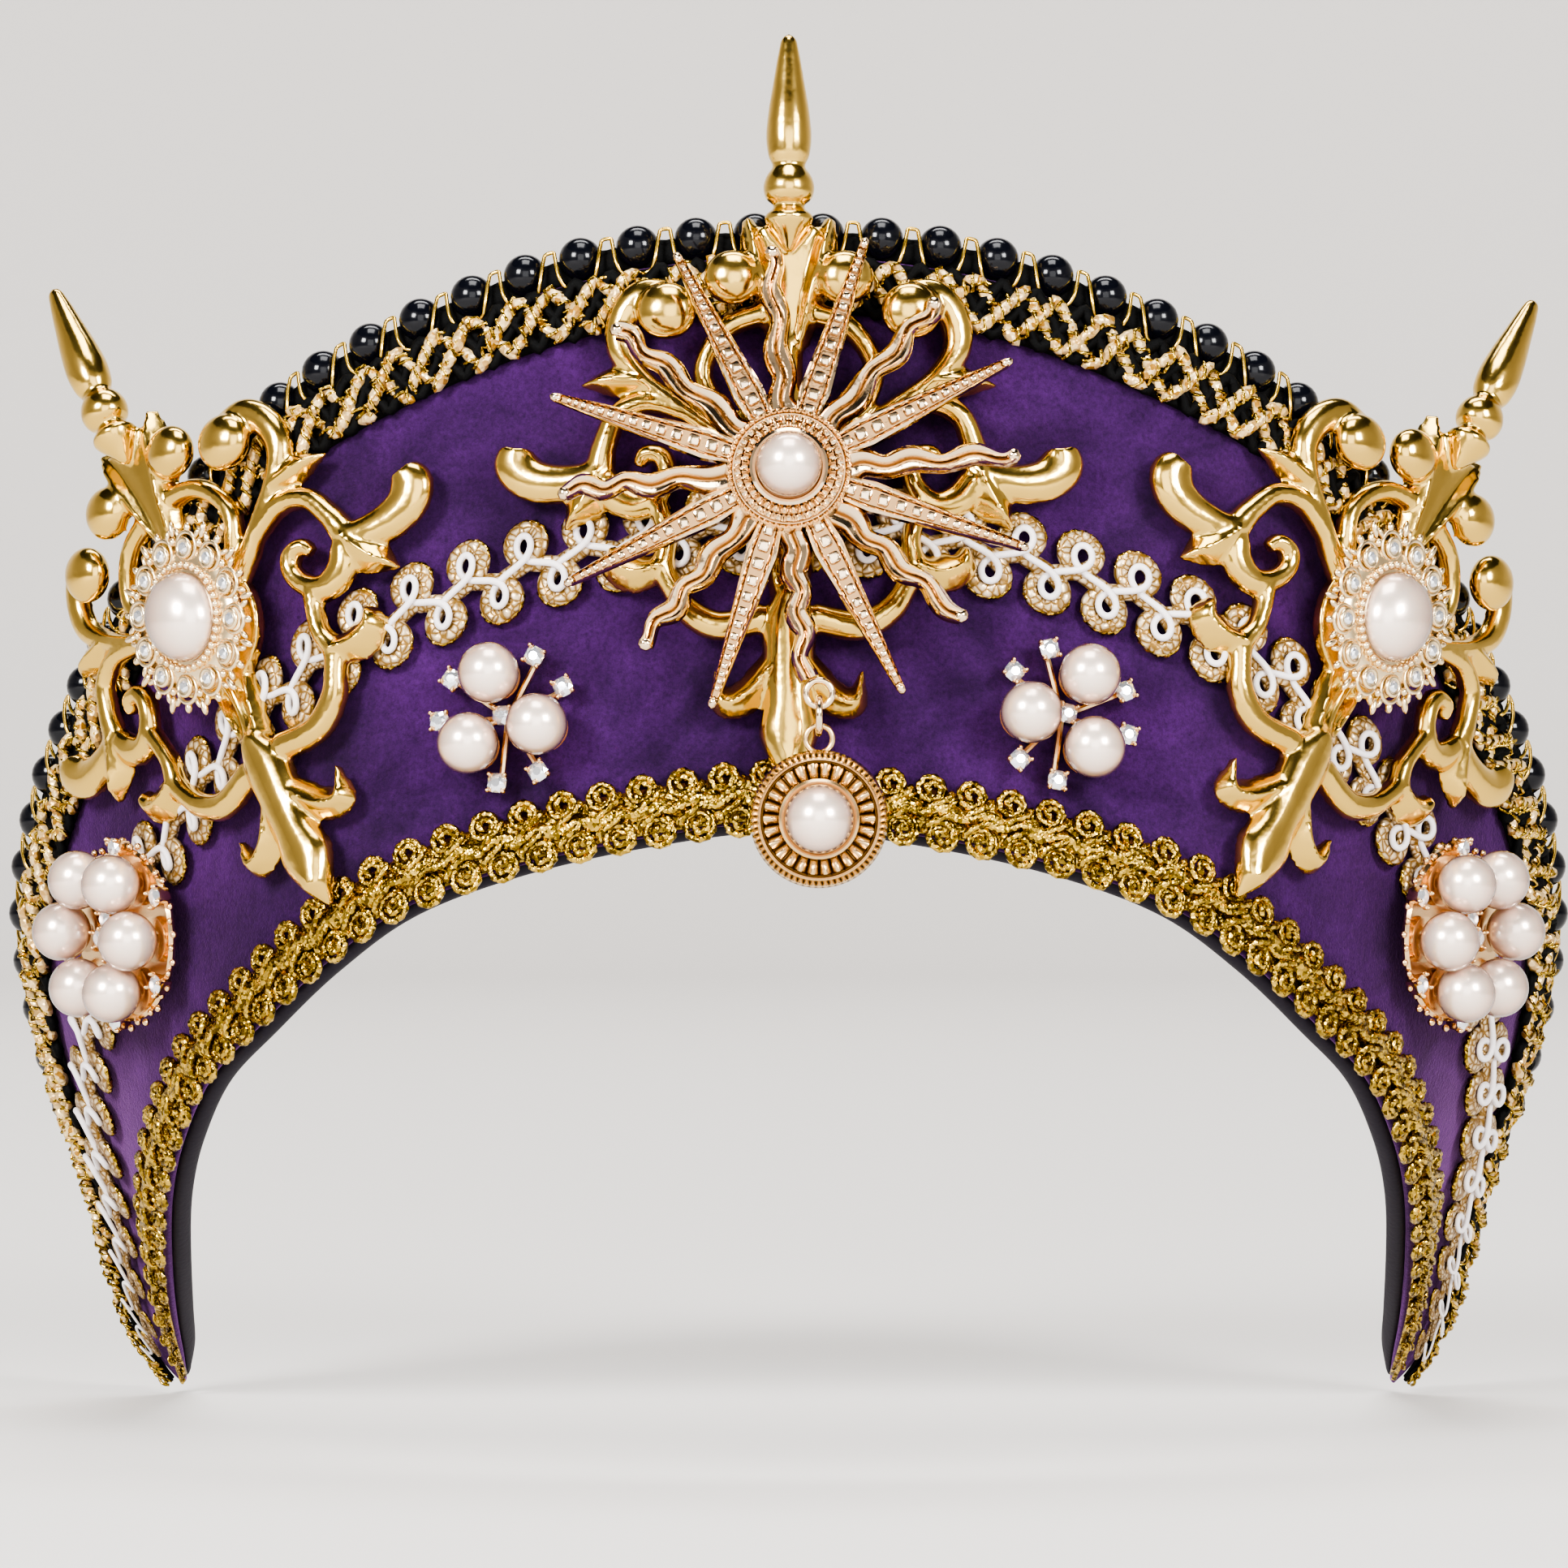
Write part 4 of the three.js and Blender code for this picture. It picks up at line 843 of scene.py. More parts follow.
def wrapped(flat, anchor_s, anchor_up, turn, lift):
    """Flat drawing points walked straight over the band from an anchor, so nothing stretches."""
    reach = np.hypot(flat[:, 0], flat[:, 1])
    heading = np.arctan2(flat[:, 1], flat[:, 0]) + turn
    s = np.full(len(flat), float(anchor_s))
    up = np.full(len(flat), float(anchor_up))
    along, _, across, _, _ = band_axes(s, up)
    way = along * np.cos(heading)[:, None] + across * np.sin(heading)[:, None]
    for _ in range(WALK_STEPS):
        along, ruling, _, out, speed = band_axes(s, up)
        way = unit(way - out * np.sum(way * out, axis=1, keepdims=True))
        skew = np.sum(along * ruling, axis=1)
        on_along = np.sum(way * along, axis=1)
        on_ruling = np.sum(way * ruling, axis=1)
        s = s + (on_along - skew * on_ruling) / (1 - skew ** 2) * reach / WALK_STEPS / speed
        up = up + (on_ruling - skew * on_along) / (1 - skew ** 2) * reach / WALK_STEPS
    return band(s, up, lift + flat[:, 2])


# Gilt casting: bright yellow gold over brass, polished, with an uneven skin of about 2 mm from the
# mould and rubbed places of about 6 mm
gilt, tree, shader = new_material("polished_gilt_casting")
spot = add_node(tree, "ShaderNodeTexCoord").outputs["Object"]
uneven = add_node(tree, "ShaderNodeTexNoise", {"Vector": spot, "Scale": 0.42 / MM, "Detail": 2.0})
rub = add_node(tree, "ShaderNodeTexNoise", {"Vector": spot, "Scale": 0.16 / MM, "Detail": 4.0})
dull = add_node(tree, "ShaderNodeMapRange", {"Value": rub.outputs["Fac"], "To Min": 0.12, "To Max": 0.22})
cast = add_node(tree, "ShaderNodeBump", {"Strength": 0.12, "Distance": 0.6 * MM,
                                         "Height": uneven.outputs["Fac"]})
dress(shader, {"Base Color": linear("#e0bb62"), "Metallic": 1.0, "Roughness": dull.outputs["Result"],
               "Normal": cast.outputs["Normal"]})
skins = [stroke_skin(tall, path) for tall, path in AXIS_STROKES]
for _, hand in SIDES:
    skins += [stroke_skin(tall, path, hand) for tall, path in STROKES]
    for ball_x, ball_y, radius in BALLS:
        bpy.ops.mesh.primitive_uv_sphere_add(segments=24, ring_count=14, radius=radius * MM)
        ball_shape = np.diag([1, 1, BALL_HEIGHT / 2 / radius])
        ball_place = np.array([hand * ball_x, ball_y, BALL_HEIGHT / 2])
        skins.append(copies(model_of(bpy.context.object), [(ball_shape, ball_place)]))
skins.append(lathe([(PLATE_RADIUS, 0.0), (PLATE_RADIUS, PLATE_THICKNESS)], 48))
spike_points, spike_faces = lathe(through(SPIKE, 5), 24)
skins.append((spike_points[:, [0, 2, 1]] + (0, 0, SPIKE_LIFT), spike_faces))
flat_filigree = tidy_up(
    skin_mesh("flat_filigree", *merged(skins), gilt),
    ("REMESH", {"mode": "VOXEL", "voxel_size": 0.34 * MM}),
    ("SMOOTH", {"factor": 0.5, "iterations": 4}),
    ("DECIMATE", {"ratio": 0.4}),
)
flat_points, flat_faces = model_of(flat_filigree)
for ornament_name, anchor_s, anchor_up, turn in ORNAMENTS:
    bent = wrapped(flat_points, anchor_s, anchor_up, math.radians(turn), ORNAMENT_LIFT)
    ornament = tidy_up(skin_mesh(f"gilt_filigree_{ornament_name}", bent, flat_faces, gilt))
    fasten(ornament, "band", f"filigree_{ornament_name}")

# The sunburst: a rose-gold casting with eight straight rays set with square studs and eight
# wavy ones, and a fluted bezel in the middle. It stands on a boss over the middle ornament.
SUN = {"s": 0.0, "up": 44.3, "lift": 11.0, "lean": 1.0, "fall": 0.05}
RAYS = 8
RAY_STEP = 360 / RAYS
STRAIGHT_RAY = {"from": 5.0, "to": 31.0, "turn": -18.0, "root": 1.3, "widest": 11.0, "wide": 2.05,
                "narrow": 0.55}
WAVY_RAY = {"from": 5.0, "to": 28.5, "turn": 4.5, "wide": 2.0, "narrow": 1.15, "sway": 0.55, "waves": 3.6}
# The lowest wavy ray stops short, because it ends in the loop of the drop
LOWEST_RAY = 4
LOOP_ROOM = 1.9
RAY_HEIGHT = 1.6
# Studs: mm left bare at the ray's root and tip, share of its half-width, height and level
STUD = {"root": 3.2, "tip": 1.5, "share": 0.75, "step": 1.6, "height": 0.9, "level": 1.15}
END_GRAIN_LEVEL = 0.8
# Sections of the rays: side from -1 to 1 and height
TROUGH = [(-1, 0), (-0.95, 1.3), (-0.78, RAY_HEIGHT), (-0.6, 1.3), (-0.5, 0.8), (0.5, 0.8), (0.6, 1.3),
          (0.78, RAY_HEIGHT), (0.95, 1.3), (1, 0)]
TWIN_RIDGE = [(-1, 0), (-0.9, 1.0), (-0.6, RAY_HEIGHT), (-0.25, 1.25), (0, 0.75), (0.25, 1.25),
              (0.6, RAY_HEIGHT), (0.9, 1.0), (1, 0)]
HOLLOW_LEVEL = 0.8
HOLLOW_DEPTH = 0.7
BEZEL_RADIUS = 8.0
BEZEL_BACK = -0.8
BOSS_RADIUS = 5.5
BOSS_FOOT = 6.1
BOSS_TOP = -0.6
# Rose-gold casting, with painted light in its colour: a painted highlight makes it pale and bright on its
# ridges and painted shade makes it browner in its hollows; with a skin of about 1 mm
rose_gold, tree, shader = new_material("rose_gold_casting")
spot = add_node(tree, "ShaderNodeTexCoord").outputs["Object"]
hammer = add_node(tree, "ShaderNodeTexNoise", {"Vector": spot, "Scale": 0.9 / MM, "Detail": 3.0})
dull = add_node(tree, "ShaderNodeMapRange", {"Value": hammer.outputs["Fac"], "To Min": 0.06, "To Max": 0.16})
cast = add_node(tree, "ShaderNodeBump", {"Strength": 0.15, "Distance": 0.4 * MM,
                                         "Height": hammer.outputs["Fac"]})
relieved = add_node(tree, "ShaderNodeAttribute", attribute_name="rise")
# painted shade and painted highlight: the base colour goes by the rise attribute, brown in the hollows and
# pale on the ridges
painted_relief_shade = add_node(tree, "ShaderNodeValToRGB", {"Fac": relieved.outputs["Fac"]},
                 [(0.1, "#a8845c"), (0.75, "#f7dcb6")])
dress(shader, {"Base Color": painted_relief_shade.outputs["Color"], "Metallic": 1.0, "Roughness": dull.outputs["Result"],
               "Normal": cast.outputs["Normal"]})


def seat_of(s, up, lift):
    """The frame of a flat jewel on the band: a turn whose third column points out, and its place."""
    along, _, across, out, _ = band_axes(np.array(float(s)), np.array(float(up)))
    return np.stack([along, across, out], axis=1), band(s, up, lift)


def turned(degrees):
    c, s = math.cos(math.radians(degrees)), math.sin(math.radians(degrees))
    return np.array([(c, -s, 0), (s, c, 0), (0, 0, 1)])


def crease(piece, degrees):
    """Smooth shading that breaks at edges sharper than degrees."""
    bpy.ops.object.select_all(action="DESELECT")
    bpy.context.view_layer.objects.active = piece
    piece.select_set(True)
    bpy.ops.object.shade_smooth_by_angle(angle=math.radians(degrees))


def ray_skin(line, half, section, spin):
    """A ray along a flat line with a cast section, turned to its place."""
    side, rise = np.array(section).T
    return swept(line, half, side, rise) @ spin.T, capped(len(line), len(section))


bpy.ops.mesh.primitive_cube_add(size=1 * MM)
stud = bpy.context.object
tidy_up(stud, ("BEVEL", {"width": 0.22 * MM, "segments": 2}))
stud_model = model_of(stud)
skins = []
part = np.linspace(0, 1, 60)
for k in range(RAYS):
    ray = STRAIGHT_RAY
    spin = turned(RAY_STEP * k + ray["turn"])
    line = np.stack([0 * part, ray["from"] + (ray["to"] - ray["from"]) * part], axis=1)
    widths = (ray["root"], ray["wide"], ray["narrow"])
    half = np.interp(line[:, 1], (ray["from"], ray["widest"], ray["to"]), widths)
    skins.append(ray_skin(line, half, TROUGH, spin))
    studs = []
    stud_y = ray["from"] + STUD["root"]
    while stud_y < ray["to"] - STUD["tip"]:
        size = STUD["share"] * np.interp(stud_y, line[:, 1], half)
        studs.append((spin @ np.diag([size, size, STUD["height"]]), spin @ (0, stud_y, STUD["level"])))
        stud_y += STUD["step"] * size
    skins.append(copies(stud_model, studs))
    tip = (spin @ np.diag([0.62, 0.9, 0.7]), spin @ (0, ray["to"], END_GRAIN_LEVEL))
    skins.append(copies(grain_model, [tip]))
    ray = WAVY_RAY
    spin = turned(RAY_STEP * k + ray["turn"])
    reach = ray["to"] - (LOOP_ROOM if k == LOWEST_RAY else 0.0)
    # The waves drift and grow towards the tip, and no two rays have them in the same places
    wave = np.sin(2 * np.pi * ray["waves"] * part + 0.9 * np.sin(5 * part + k))
    sway = ray["sway"] * wave * (0.5 + 0.5 * part)
    line = np.stack([sway, ray["from"] + (reach - ray["from"]) * part], axis=1)
    half = ray["wide"] + (ray["narrow"] - ray["wide"]) * part + 0.2 * np.sin(19 * part + 2 * k)
    skins.append(ray_skin(line, half, TWIN_RIDGE, spin))
    if k != LOWEST_RAY:
        tip = (spin @ np.diag([1.0, 0.9, 0.8]), spin @ (line[-1, 0], reach, END_GRAIN_LEVEL))
        skins.append(copies(grain_model, [tip]))
ray_points, ray_faces = merged(skins)
ray_rise = (ray_points[:, 2] - HOLLOW_LEVEL) / HOLLOW_DEPTH
ray_points[:, 2] -= SUN["fall"] * np.hypot(ray_points[:, 0], ray_points[:, 1])


def relief(rings, around, back):
    """A round cast face: radius and height by angle for each ring, closed by a flat back."""
    angle = np.linspace(0, 2 * np.pi, around, endpoint=False)
    points = [[(r * np.cos(a), r * np.sin(a), height(a)) for a in angle] for r, height in rings]
    edge = rings[-1][0]
    points.append([(edge * np.cos(a), edge * np.sin(a), back) for a in angle])
    return np.array(points).reshape(-1, 3), capped(len(points), around)


def risen(points, radii, floors):
    """How far points of a relief stand above its hollows, whose level goes by the radius."""
    floor = np.interp(np.hypot(points[:, 0], points[:, 1]), radii, floors)
    return (points[:, 2] - floor) / HOLLOW_DEPTH


def ribs(level, depth, count, sharp=1.0, phase=0.0):
    """A height that rises and falls count times round the face."""
    return lambda a: level + depth * (0.5 + 0.5 * math.cos(count * a + phase)) ** sharp


def flat(level):
    return lambda a: level


SUN_RINGS = [
    (4.0, flat(2.4)), (4.25, flat(3.1)), (4.6, flat(3.3)), (4.95, flat(3.1)), (5.05, flat(2.2)),
    (5.2, ribs(2.0, 0.9, 30)), (5.6, ribs(2.0, 1.0, 30)), (5.95, ribs(2.0, 0.8, 30)), (6.05, flat(1.9)),
    (6.15, ribs(1.8, 0.8, 30, 1, np.pi)), (6.5, ribs(1.8, 0.9, 30, 1, np.pi)),
    (6.85, ribs(1.8, 0.6, 30, 1, np.pi)), (6.95, flat(1.5)), (7.1, flat(1.5)), (7.2, ribs(1.5, 0.5, 60)),
    (7.45, ribs(1.5, 0.9, 60)), (7.75, ribs(1.5, 0.5, 60)), (7.85, flat(1.4)), (BEZEL_RADIUS, flat(1.0)),
]
bezel = relief(SUN_RINGS, 240, BEZEL_BACK)
bezel_rise = risen(bezel[0], (4, 5, 6, 7, BEZEL_RADIUS), (2.3, 1.95, 1.8, 1.4, 0.8))
boss = lathe([(BOSS_RADIUS, BOSS_FOOT - SUN["lift"]), (BOSS_RADIUS, BOSS_TOP)], 40)
sun_turn, sun_place = seat_of(SUN["s"], SUN["up"], SUN["lift"])
c, s = math.cos(math.radians(-SUN["lean"])), math.sin(math.radians(-SUN["lean"]))
sun_turn = sun_turn @ np.array([(1, 0, 0), (0, c, -s), (0, s, c)])
sun_points, sun_faces = merged([(ray_points, ray_faces), bezel, boss])
sun_points = sun_points @ sun_turn.T + sun_place

# The cast loop on the lowest wavy ray, the jump ring and the bail are round wire: ring and wire
# radius, height of the ring's middle, and the axis that it turns about
DROP_CENTER = np.array([3.8, -56.81, 40.6])
LOOP = (1.65, 0.45, 56.4, "y")
JUMP_RING = (2.2, 0.45, 53.6, "x")
BAIL = (1.7, 0.35, 50.65, "y")


def wire_ring(radius, wire, height, facing):
    """A ring of wire straight above the drop."""
    turn = {"x": (0, math.pi / 2, 0), "y": (math.pi / 2, 0, 0)}[facing]
    bpy.ops.mesh.primitive_torus_add(major_segments=40, minor_segments=14, major_radius=radius * MM,
                                     minor_radius=wire * MM, rotation=turn)
    bpy.ops.object.transform_apply(location=False, rotation=True, scale=False)
    points, faces = model_of(bpy.context.object)
    return points + (DROP_CENTER[0], DROP_CENTER[1], height), faces


loop_skin = wire_ring(*LOOP)
sun_rise = np.concatenate([ray_rise, bezel_rise, np.ones(len(boss[0]) + len(loop_skin[0]))])
sun_skin = merged([(sun_points, sun_faces), loop_skin])
sunburst = tidy_up(skin_mesh("rose_gold_sunburst", *sun_skin, rose_gold, rise=sun_rise))
crease(sunburst, 38)
fasten(sunburst, "band", "sunburst")

# The drop: a jump ring of round wire, and a cast disc with a notched rim, a ring of flutes and
# a smooth bezel round its pearl. It hangs free from the lowest ray.
DISC_BACK = -1.2
DROP_RINGS = [
    (4.1, flat(0.9)), (4.45, flat(1.5)), (4.75, flat(1.7)), (5.05, flat(1.5)), (5.2, flat(0.6)),
    (5.35, ribs(0.3, 0.6, 26, 0.6)), (5.9, ribs(0.3, 0.9, 26, 0.6)), (6.5, ribs(0.3, 1.0, 26, 0.6)),
    (7.0, ribs(0.3, 0.9, 26, 0.6)), (7.1, flat(0.35)), (7.3, flat(0.35)), (7.4, flat(1.1)),
    (7.6, flat(1.25)), (7.75, ribs(1.0, 0.2, 64)), (8.05, ribs(0.7, 0.7, 64)), (8.4, ribs(0.6, 0.55, 64)),
    (8.7, ribs(0.1, 0.3, 64)),
]
# Rose gold with painted light: a painted highlight, bright, on its ridges and painted shade, dark brown, in
# its hollows
shaded_rose_gold, tree, shader = new_material("rose_gold_painted_shade")
hollow = add_node(tree, "ShaderNodeAttribute", attribute_name="rise")
# painted shade and painted highlight: the base colour goes by the rise attribute, dark brown in the hollows
# and bright on the ridges
painted_relief_shade = add_node(tree, "ShaderNodeValToRGB", {"Fac": hollow.outputs["Fac"]},
                 [(0.1, "#4e3416"), (0.75, "#e2c08c")])
dress(shader, {"Base Color": painted_relief_shade.outputs["Color"], "Metallic": 1.0, "Roughness": 0.24})
jump_skin = wire_ring(*JUMP_RING)
jump_rise = np.ones(len(jump_skin[0]))
jump_ring = tidy_up(skin_mesh("jump_ring_wire", *jump_skin, rose_gold, rise=jump_rise))
fasten(jump_ring, "link", "jump_ring")
disc_points, disc_faces = relief(DROP_RINGS, 256, DISC_BACK)
disc_rise = risen(disc_points, (4.1, 5.2, 7.05, 7.4, 8.0, 8.7), (0.9, 0.35, 0.3, 0.6, 0.75, 0))
facing_front = np.array([(1, 0, 0), (0, 0, -1), (0, 1, 0)])
disc_points = disc_points @ facing_front.T + DROP_CENTER
bail_skin = wire_ring(*BAIL)
drop_rise = np.concatenate([disc_rise, np.ones(len(bail_skin[0]))])
drop_skin = merged([(disc_points, disc_faces), bail_skin])
drop = tidy_up(skin_mesh("pendant_disc", *drop_skin, shaded_rose_gold, rise=drop_rise))
crease(drop, 40)
fasten(drop, "drop", "pendant")

# The brooches: stamped lace plates in pale gilt, with twelve rhinestones, a grained ring and a
# large half pearl; pinned to the plates of the side ornaments.
BROOCH = {"s": 0.348, "up": 49.7, "lift": 6.1, "stones": 12, "ring": 9.3, "oval": 0.9}
HALF_STEP = 360 / BROOCH["stones"] / 2
LACE_PLATE = [(10.4, 0.0), (10.4, 0.5), (8.0, 1.0), (6.5, 1.3), (0.5, 1.3)]
# Collars round the stones: radius, wire radius, radius of their ring and level
COLLARS = [(1.2, 0.34, BROOCH["ring"], 1.3), (1.9, 0.32, BROOCH["ring"] + 0.3, 0.8)]
# Grains of the lace: how many, radius of their ring, level, shift in degrees, half sizes, lean in degrees
LACE_GRAINS = [
    (38, 7.0, 1.6, 0, (0.56, 0.56, 0.6), 0),
    (12, 12.2, 0.6, HALF_STEP, (0.5, 1.3, 0.5), 0),
    (12, 11.5, 0.6, HALF_STEP - 5, (0.42, 0.95, 0.45), 28),
    (12, 11.5, 0.6, HALF_STEP + 5, (0.42, 0.95, 0.45), -28),
    (12, 12.1, 0.6, 0, (0.55, 0.8, 0.5), 0),
    (12, 10.4, 0.9, HALF_STEP, (0.6, 0.6, 0.5), 0),
]
BROOCH_STONE = {"radius": 1.05, "height": 1.0, "level": 0.9}
# Pale gilt lace: thin bright stamping, duller in spots of about 2 mm
pale_gilt, tree, shader = new_material("pale_gilt_lace")
spot = add_node(tree, "ShaderNodeTexCoord").outputs["Object"]
rub = add_node(tree, "ShaderNodeTexNoise", {"Vector": spot, "Scale": 0.6 / MM, "Detail": 2.0})
dull = add_node(tree, "ShaderNodeMapRange", {"Value": rub.outputs["Fac"], "To Min": 0.16, "To Max": 0.32})
dress(shader, {"Base Color": linear("#f5dcb0"), "Metallic": 1.0, "Roughness": dull.outputs["Result"]})
# Rhinestone: foil-backed cut glass, bright and dark by turns from facet to facet
rhinestone, tree, shader = new_material("foiled_rhinestone")
dress(shader, {"Base Color": linear("#eef2f8"), "Metallic": 0.8, "Roughness": 0.03, "Coat Weight": 1.0})
CUTS = 8


def brilliant(radius, height):
    """A cut stone: a girdle, two rows of crown facets and a small table."""
    # Rows of corners: share of the radius, share of the height, and shift in facets
    rows = [(0.92, 0.0, 0.0), (1.0, 0.25, 0.5), (0.72, 0.75, 0.0), (0.42, 1.0, 0.5)]
    points = []
    faces = []
    for share, level, shift in rows:
        angle = math.tau * (np.arange(CUTS) + shift) / CUTS
        r = radius * share
        points += [(r * math.cos(a), r * math.sin(a), height * level) for a in angle]
    for row in range(len(rows) - 1):
        ahead = 1 if rows[row][2] > rows[row + 1][2] else 0
        low, high = row * CUTS, (row + 1) * CUTS
        for k in range(CUTS):
            a, b = low + k, low + (k + 1) % CUTS
            c, d = high + (k + ahead) % CUTS, high + (k + 1 + ahead) % CUTS
            faces += [[a, b, c], [b, d, c]]
    faces.append(list(range(CUTS))[::-1])
    faces.append(list(range(len(points) - CUTS, len(points))))
    return np.array(points), faces


def at_angles(angles, radius, level):
    """Turns and places of copies round a ring, by degrees; each copy's y points outward."""
    return [(turned(a), turned(a) @ (0, radius, level)) for a in angles]


def around(count, radius, level, shift=0.0):
    """Turns and places of copies spread evenly round a ring."""
    return at_angles([360 / count * k + shift for k in range(count)], radius, level)


def shaped(places, scale, lean=0.0):
    """The same places with each copy scaled, and leaned by degrees."""
    return [(turn @ turned(lean) @ np.diag(scale), place) for turn, place in places]


def round_collar(radius, wire):
    bpy.ops.mesh.primitive_torus_add(major_segments=20, minor_segments=8, major_radius=radius * MM,
                                     minor_radius=wire * MM)
    return model_of(bpy.context.object)


def set_jewel(kind, setting, side_name, metal, stones, finish, turn, place):
    """The metal and the cut stones of one jewel on the band; its metal is returned."""
    made = tidy_up(skin_mesh(f"{kind}_{setting}_{side_name}", metal[0] @ turn.T + place, metal[1], finish))
    fasten(made, "band", f"{kind}_{side_name}")
    gems = tidy_up(skin_mesh(f"{kind}_stones_{side_name}", stones[0] @ turn.T + place, stones[1], rhinestone))
    gems.data.polygons.foreach_set("use_smooth", [False] * len(gems.data.polygons))
    fasten(gems, "band")
    return made


lace = [lathe(LACE_PLATE, 60)]
for radius, wire, ring, level in COLLARS:
    lace.append(copies(round_collar(radius, wire), around(BROOCH["stones"], ring, level)))
for count, ring, level, shift, half_sizes, lean in LACE_GRAINS:
    lace.append(copies(grain_model, shaped(around(count, ring, level, shift), half_sizes, lean)))
lace = merged(lace)
brooch_stone = brilliant(BROOCH_STONE["radius"], BROOCH_STONE["height"])
brooch_stones = copies(brooch_stone, around(BROOCH["stones"], BROOCH["ring"], BROOCH_STONE["level"]))
lace[0][:, 0] *= BROOCH["oval"]
brooch_stones[0][:, 0] *= BROOCH["oval"]
for side_name, way in SIDES:
    turn, place = seat_of(way * BROOCH["s"], BROOCH["up"], BROOCH["lift"])
    set_jewel("brooch", "lace", side_name, lace, brooch_stones, pale_gilt, turn, place)

# The trefoils: rose-gold wire sprays with three pearls in cups, and square four-claw collets that
# hold seven rhinestones. Sewn flat to the velvet.
TREFOIL = {"up": 19.8, "lift": 0.3, "turn": 76.0, "pearl_ring": 5.4, "stone_ring": 8.6, "spread": 19.0}
# Each spray: side, hand, place along the band and turn in degrees
SPRAYS = (("right", 1, 0.161, 0.0), ("left", -1, -0.166, -14.0))
COLLET_HEIGHT = 2.2
CLAW = {"reach": 1.05, "level": 2.3, "half_sizes": (0.34, 0.34, 0.6)}
STONE = {"radius": 1.35, "height": 0.7, "level": 1.9}
MIDDLE_LEVEL = 1.4
PEARL_CUP = [(1.6, 0.0), (2.6, 0.6), (3.1, 1.6), (2.8, 1.6), (0.4, 0.8)]
ARM_LEVEL = 0.6
ARM_RADIUS = 0.45
ARM_STEPS = 8
METAL_CREASE = 40
bpy.ops.mesh.primitive_cone_add(vertices=4, radius1=1.2 * MM, radius2=1.75 * MM, depth=COLLET_HEIGHT * MM,
                                rotation=(0, 0, math.pi / 4))
bpy.ops.object.transform_apply(location=False, rotation=True, scale=False)
collet = bpy.context.object
tidy_up(collet, ("BEVEL", {"width": 0.2 * MM, "segments": 2}))
collet_points, collet_faces = model_of(collet)
collet_model = (collet_points + (0, 0, COLLET_HEIGHT / 2), collet_faces)
corners = [(x * CLAW["reach"], y * CLAW["reach"], CLAW["level"]) for x in (-1, 1) for y in (-1, 1)]
claw_model = copies(grain_model, [(np.diag(CLAW["half_sizes"]), corner) for corner in corners])
stone_model = brilliant(STONE["radius"], STONE["height"])
cup_model = lathe(PEARL_CUP, 24)


def collets(places):
    """Collets with their claws, and the stones in them, as two skins."""
    metal = merged([copies(collet_model, places), copies(claw_model, places)])
    return metal, copies(stone_model, [(turn, place + (0, 0, STONE["level"])) for turn, place in places])


def wire_arm(end):
    """A straight arm of round wire from the middle of a spray."""
    start = np.array((0, 0, ARM_LEVEL))
    path = start + np.linspace(0, 1, ARM_STEPS)[:, None] * (end - start)
    out = np.tile((0.0, 0.0, 1.0), (ARM_STEPS, 1))
    points, _, _, sides = cord_skin(path, out, ARM_RADIUS, ARM_RADIUS, 8)
    return points, capped(ARM_STEPS, sides)


# Rose-gold wire: pale and bright, duller in spots of about 2 mm
pale_rose, tree, shader = new_material("pale_rose_gold_wire")
spot = add_node(tree, "ShaderNodeTexCoord").outputs["Object"]
rub = add_node(tree, "ShaderNodeTexNoise", {"Vector": spot, "Scale": 0.6 / MM, "Detail": 2.0})
dull = add_node(tree, "ShaderNodeMapRange", {"Value": rub.outputs["Fac"], "To Min": 0.12, "To Max": 0.28})
dress(shader, {"Base Color": linear("#ecc795"), "Metallic": 1.0, "Roughness": dull.outputs["Result"]})
pearl_angles = [TREFOIL["turn"] + 120 * k - 90 for k in range(3)]
stone_angles = [a + 60 + way * TREFOIL["spread"] for a in pearl_angles for way in (-1, 1)]
arm_places = at_angles(stone_angles, TREFOIL["stone_ring"], ARM_LEVEL)
collet_metal, trefoil_stones = collets(arm_places + [(np.eye(3), np.array((0, 0, MIDDLE_LEVEL)))])
cups = copies(cup_model, at_angles(pearl_angles, TREFOIL["pearl_ring"], 0.0))
trefoil_metal = merged([collet_metal, *[wire_arm(end) for _, end in arm_places], cups])
for side_name, hand, seat_s, seat_turn in SPRAYS:
    turn, place = seat_of(seat_s, TREFOIL["up"], TREFOIL["lift"])
    turn = turn @ turned(seat_turn) @ np.diag([hand, 1, 1])
    spray = set_jewel("trefoil", "spray", side_name, trefoil_metal, trefoil_stones, pale_rose, turn, place)
    crease(spray, METAL_CREASE)

# The clusters: six pearls on a scalloped rose-gold setting, with rhinestones on the rim and
# four in the middle. Sewn over the middle gimp.
CLUSTER = {"s": 0.516, "up": 25.0, "lift": 2.6, "turn": 21.0, "pearls": 6, "pearl_ring": 8.3,
           "rim_ring": 11.6, "rim_level": 0.3, "stone_ring": 2.2}
CLUSTER_PLATE = [(11.4, 0.0), (11.6, 0.5), (11.2, 0.9), (0.5, 1.0)]
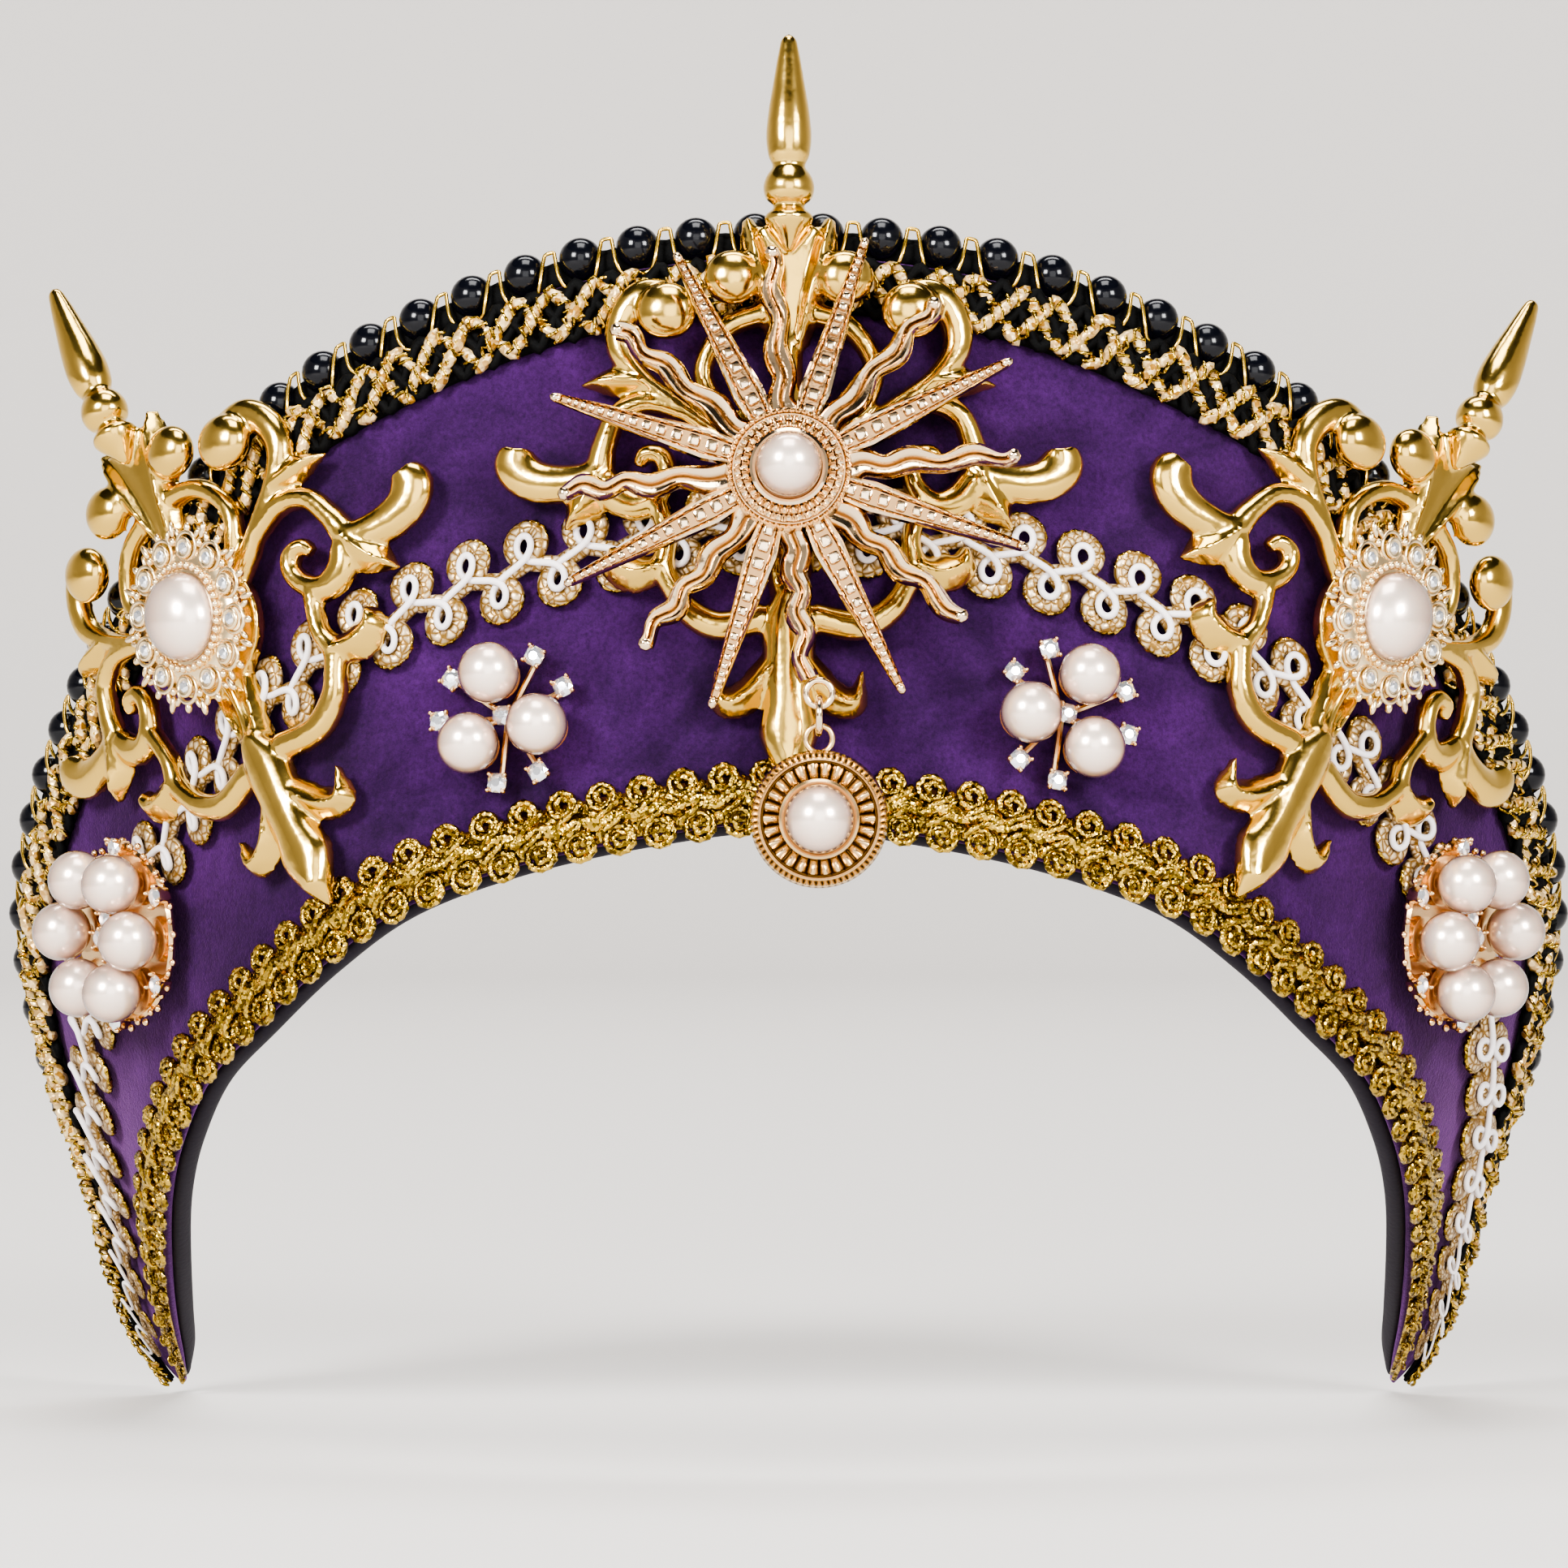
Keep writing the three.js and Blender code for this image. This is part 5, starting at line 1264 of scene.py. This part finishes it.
# The rim's grains, by turns on an inner and an outer ring
RIM_GRAINS = {"count": 21, "inner_ring": 11.9, "outer_ring": 12.5, "level": 0.9, "radius": 0.5}
rim_places = around(CLUSTER["pearls"], CLUSTER["rim_ring"], CLUSTER["rim_level"], -60)
inner_places = around(4, CLUSTER["stone_ring"], MIDDLE_LEVEL, 45)
collet_metal, cluster_stones = collets(rim_places + inner_places)
count, level = RIM_GRAINS["count"], RIM_GRAINS["level"]
grain_places = around(count, RIM_GRAINS["inner_ring"], level)
grain_places += around(count, RIM_GRAINS["outer_ring"], level, 360 / count / 2)
cluster_metal = merged([
    collet_metal,
    lathe(CLUSTER_PLATE, 60),
    copies(cup_model, around(CLUSTER["pearls"], CLUSTER["pearl_ring"], 0.0, -90)),
    copies(grain_model, shaped(grain_places, [RIM_GRAINS["radius"]] * 3)),
])
for side_name, way in SIDES:
    turn, place = seat_of(way * CLUSTER["s"], CLUSTER["up"], CLUSTER["lift"])
    turn = turn @ turned(-way * CLUSTER["turn"]) @ np.diag([way, 1, 1])
    flower = set_jewel("cluster", "setting", side_name, cluster_metal, cluster_stones, pale_rose, turn, place)
    crease(flower, METAL_CREASE)

# The pearls: glass pearls dipped in cream nacre, whole on the sprays and clusters and half
# round on the sunburst, the drop and the brooches. Each is glued in its setting.
HALF_PEARL = {"radius": 6.1, "height": 4.6, "lift": 1.5, "steps": 16}
DOME_TOP = math.pi / 2 - 0.04
# Cream nacre, with painted light: white where it faces the eye as a painted highlight and browner towards its
# edge as painted shade
nacre, tree, shader = new_material("cream_nacre")
edge = add_node(tree, "ShaderNodeLayerWeight", {"Blend": 0.35})
# painted shade and painted highlight: the base colour goes from white at the middle of each pearl to brown at
# its rim, by the facing angle
painted_rim_shade = add_node(tree, "ShaderNodeValToRGB", {"Fac": edge.outputs["Facing"]},
                [(0.0, "#f8e4d6"), (0.25, "#e4c6b4"), (0.65, "#725245")])
dress(shader, {"Base Color": painted_rim_shade.outputs["Color"], "Metallic": 0.5, "Roughness": 0.27, "Coat Weight": 1.0,
               "Coat Roughness": 0.05, "Subsurface Weight": 0.1})


def ball_through(points):
    """Centre and radius of the ball that points lie on."""
    table = np.hstack([2 * points, np.ones((len(points), 1))])
    answer = np.linalg.lstsq(table, np.sum(points ** 2, axis=1), rcond=None)[0]
    return answer[:3], math.sqrt(answer[3] + answer[:3] @ answer[:3])


BALL_PEARLS = [
    *[f"trefoil_pearl_{side}_{k}" for side in ("left", "right") for k in range(1, 4)],
    *[f"cluster_pearl_{side}_{k}" for side in ("left", "right") for k in range(1, 7)],
    "sunburst_pearl",
    "pendant_pearl",
]
for pearl_name in BALL_PEARLS:
    solid = bpy.data.objects[pearl_name]
    corners = np.array([solid.matrix_world @ v.co for v in solid.data.vertices])
    center, radius = ball_through(corners)
    misfit = np.abs(np.linalg.norm(corners - center, axis=1) - radius)
    center, radius = ball_through(corners[misfit < max(2 * np.median(misfit), 1e-6)])
    bpy.ops.mesh.primitive_uv_sphere_add(segments=36, ring_count=22, radius=radius, location=center)
    bpy.ops.object.transform_apply(location=True, rotation=False, scale=False)
    ball = bpy.context.object
    ball.name = f"nacre_{pearl_name}"
    bpy.ops.object.shade_smooth()
    ball.data.materials.append(nacre)
    fasten(ball, "drop" if pearl_name == "pendant_pearl" else "band", pearl_name)
dome = [(HALF_PEARL["radius"] * math.cos(a), HALF_PEARL["height"] * math.sin(a))
        for a in np.linspace(0, DOME_TOP, HALF_PEARL["steps"])]
dome_points, dome_faces = lathe(dome, 48)
dome_points[:, 0] *= BROOCH["oval"]
for side_name, way in SIDES:
    turn, place = seat_of(way * BROOCH["s"], BROOCH["up"], BROOCH["lift"] + HALF_PEARL["lift"])
    half_pearl = skin_mesh(f"nacre_brooch_pearl_{side_name}", dome_points @ turn.T + place, dome_faces, nacre)
    fasten(tidy_up(half_pearl), "band", f"brooch_pearl_{side_name}")
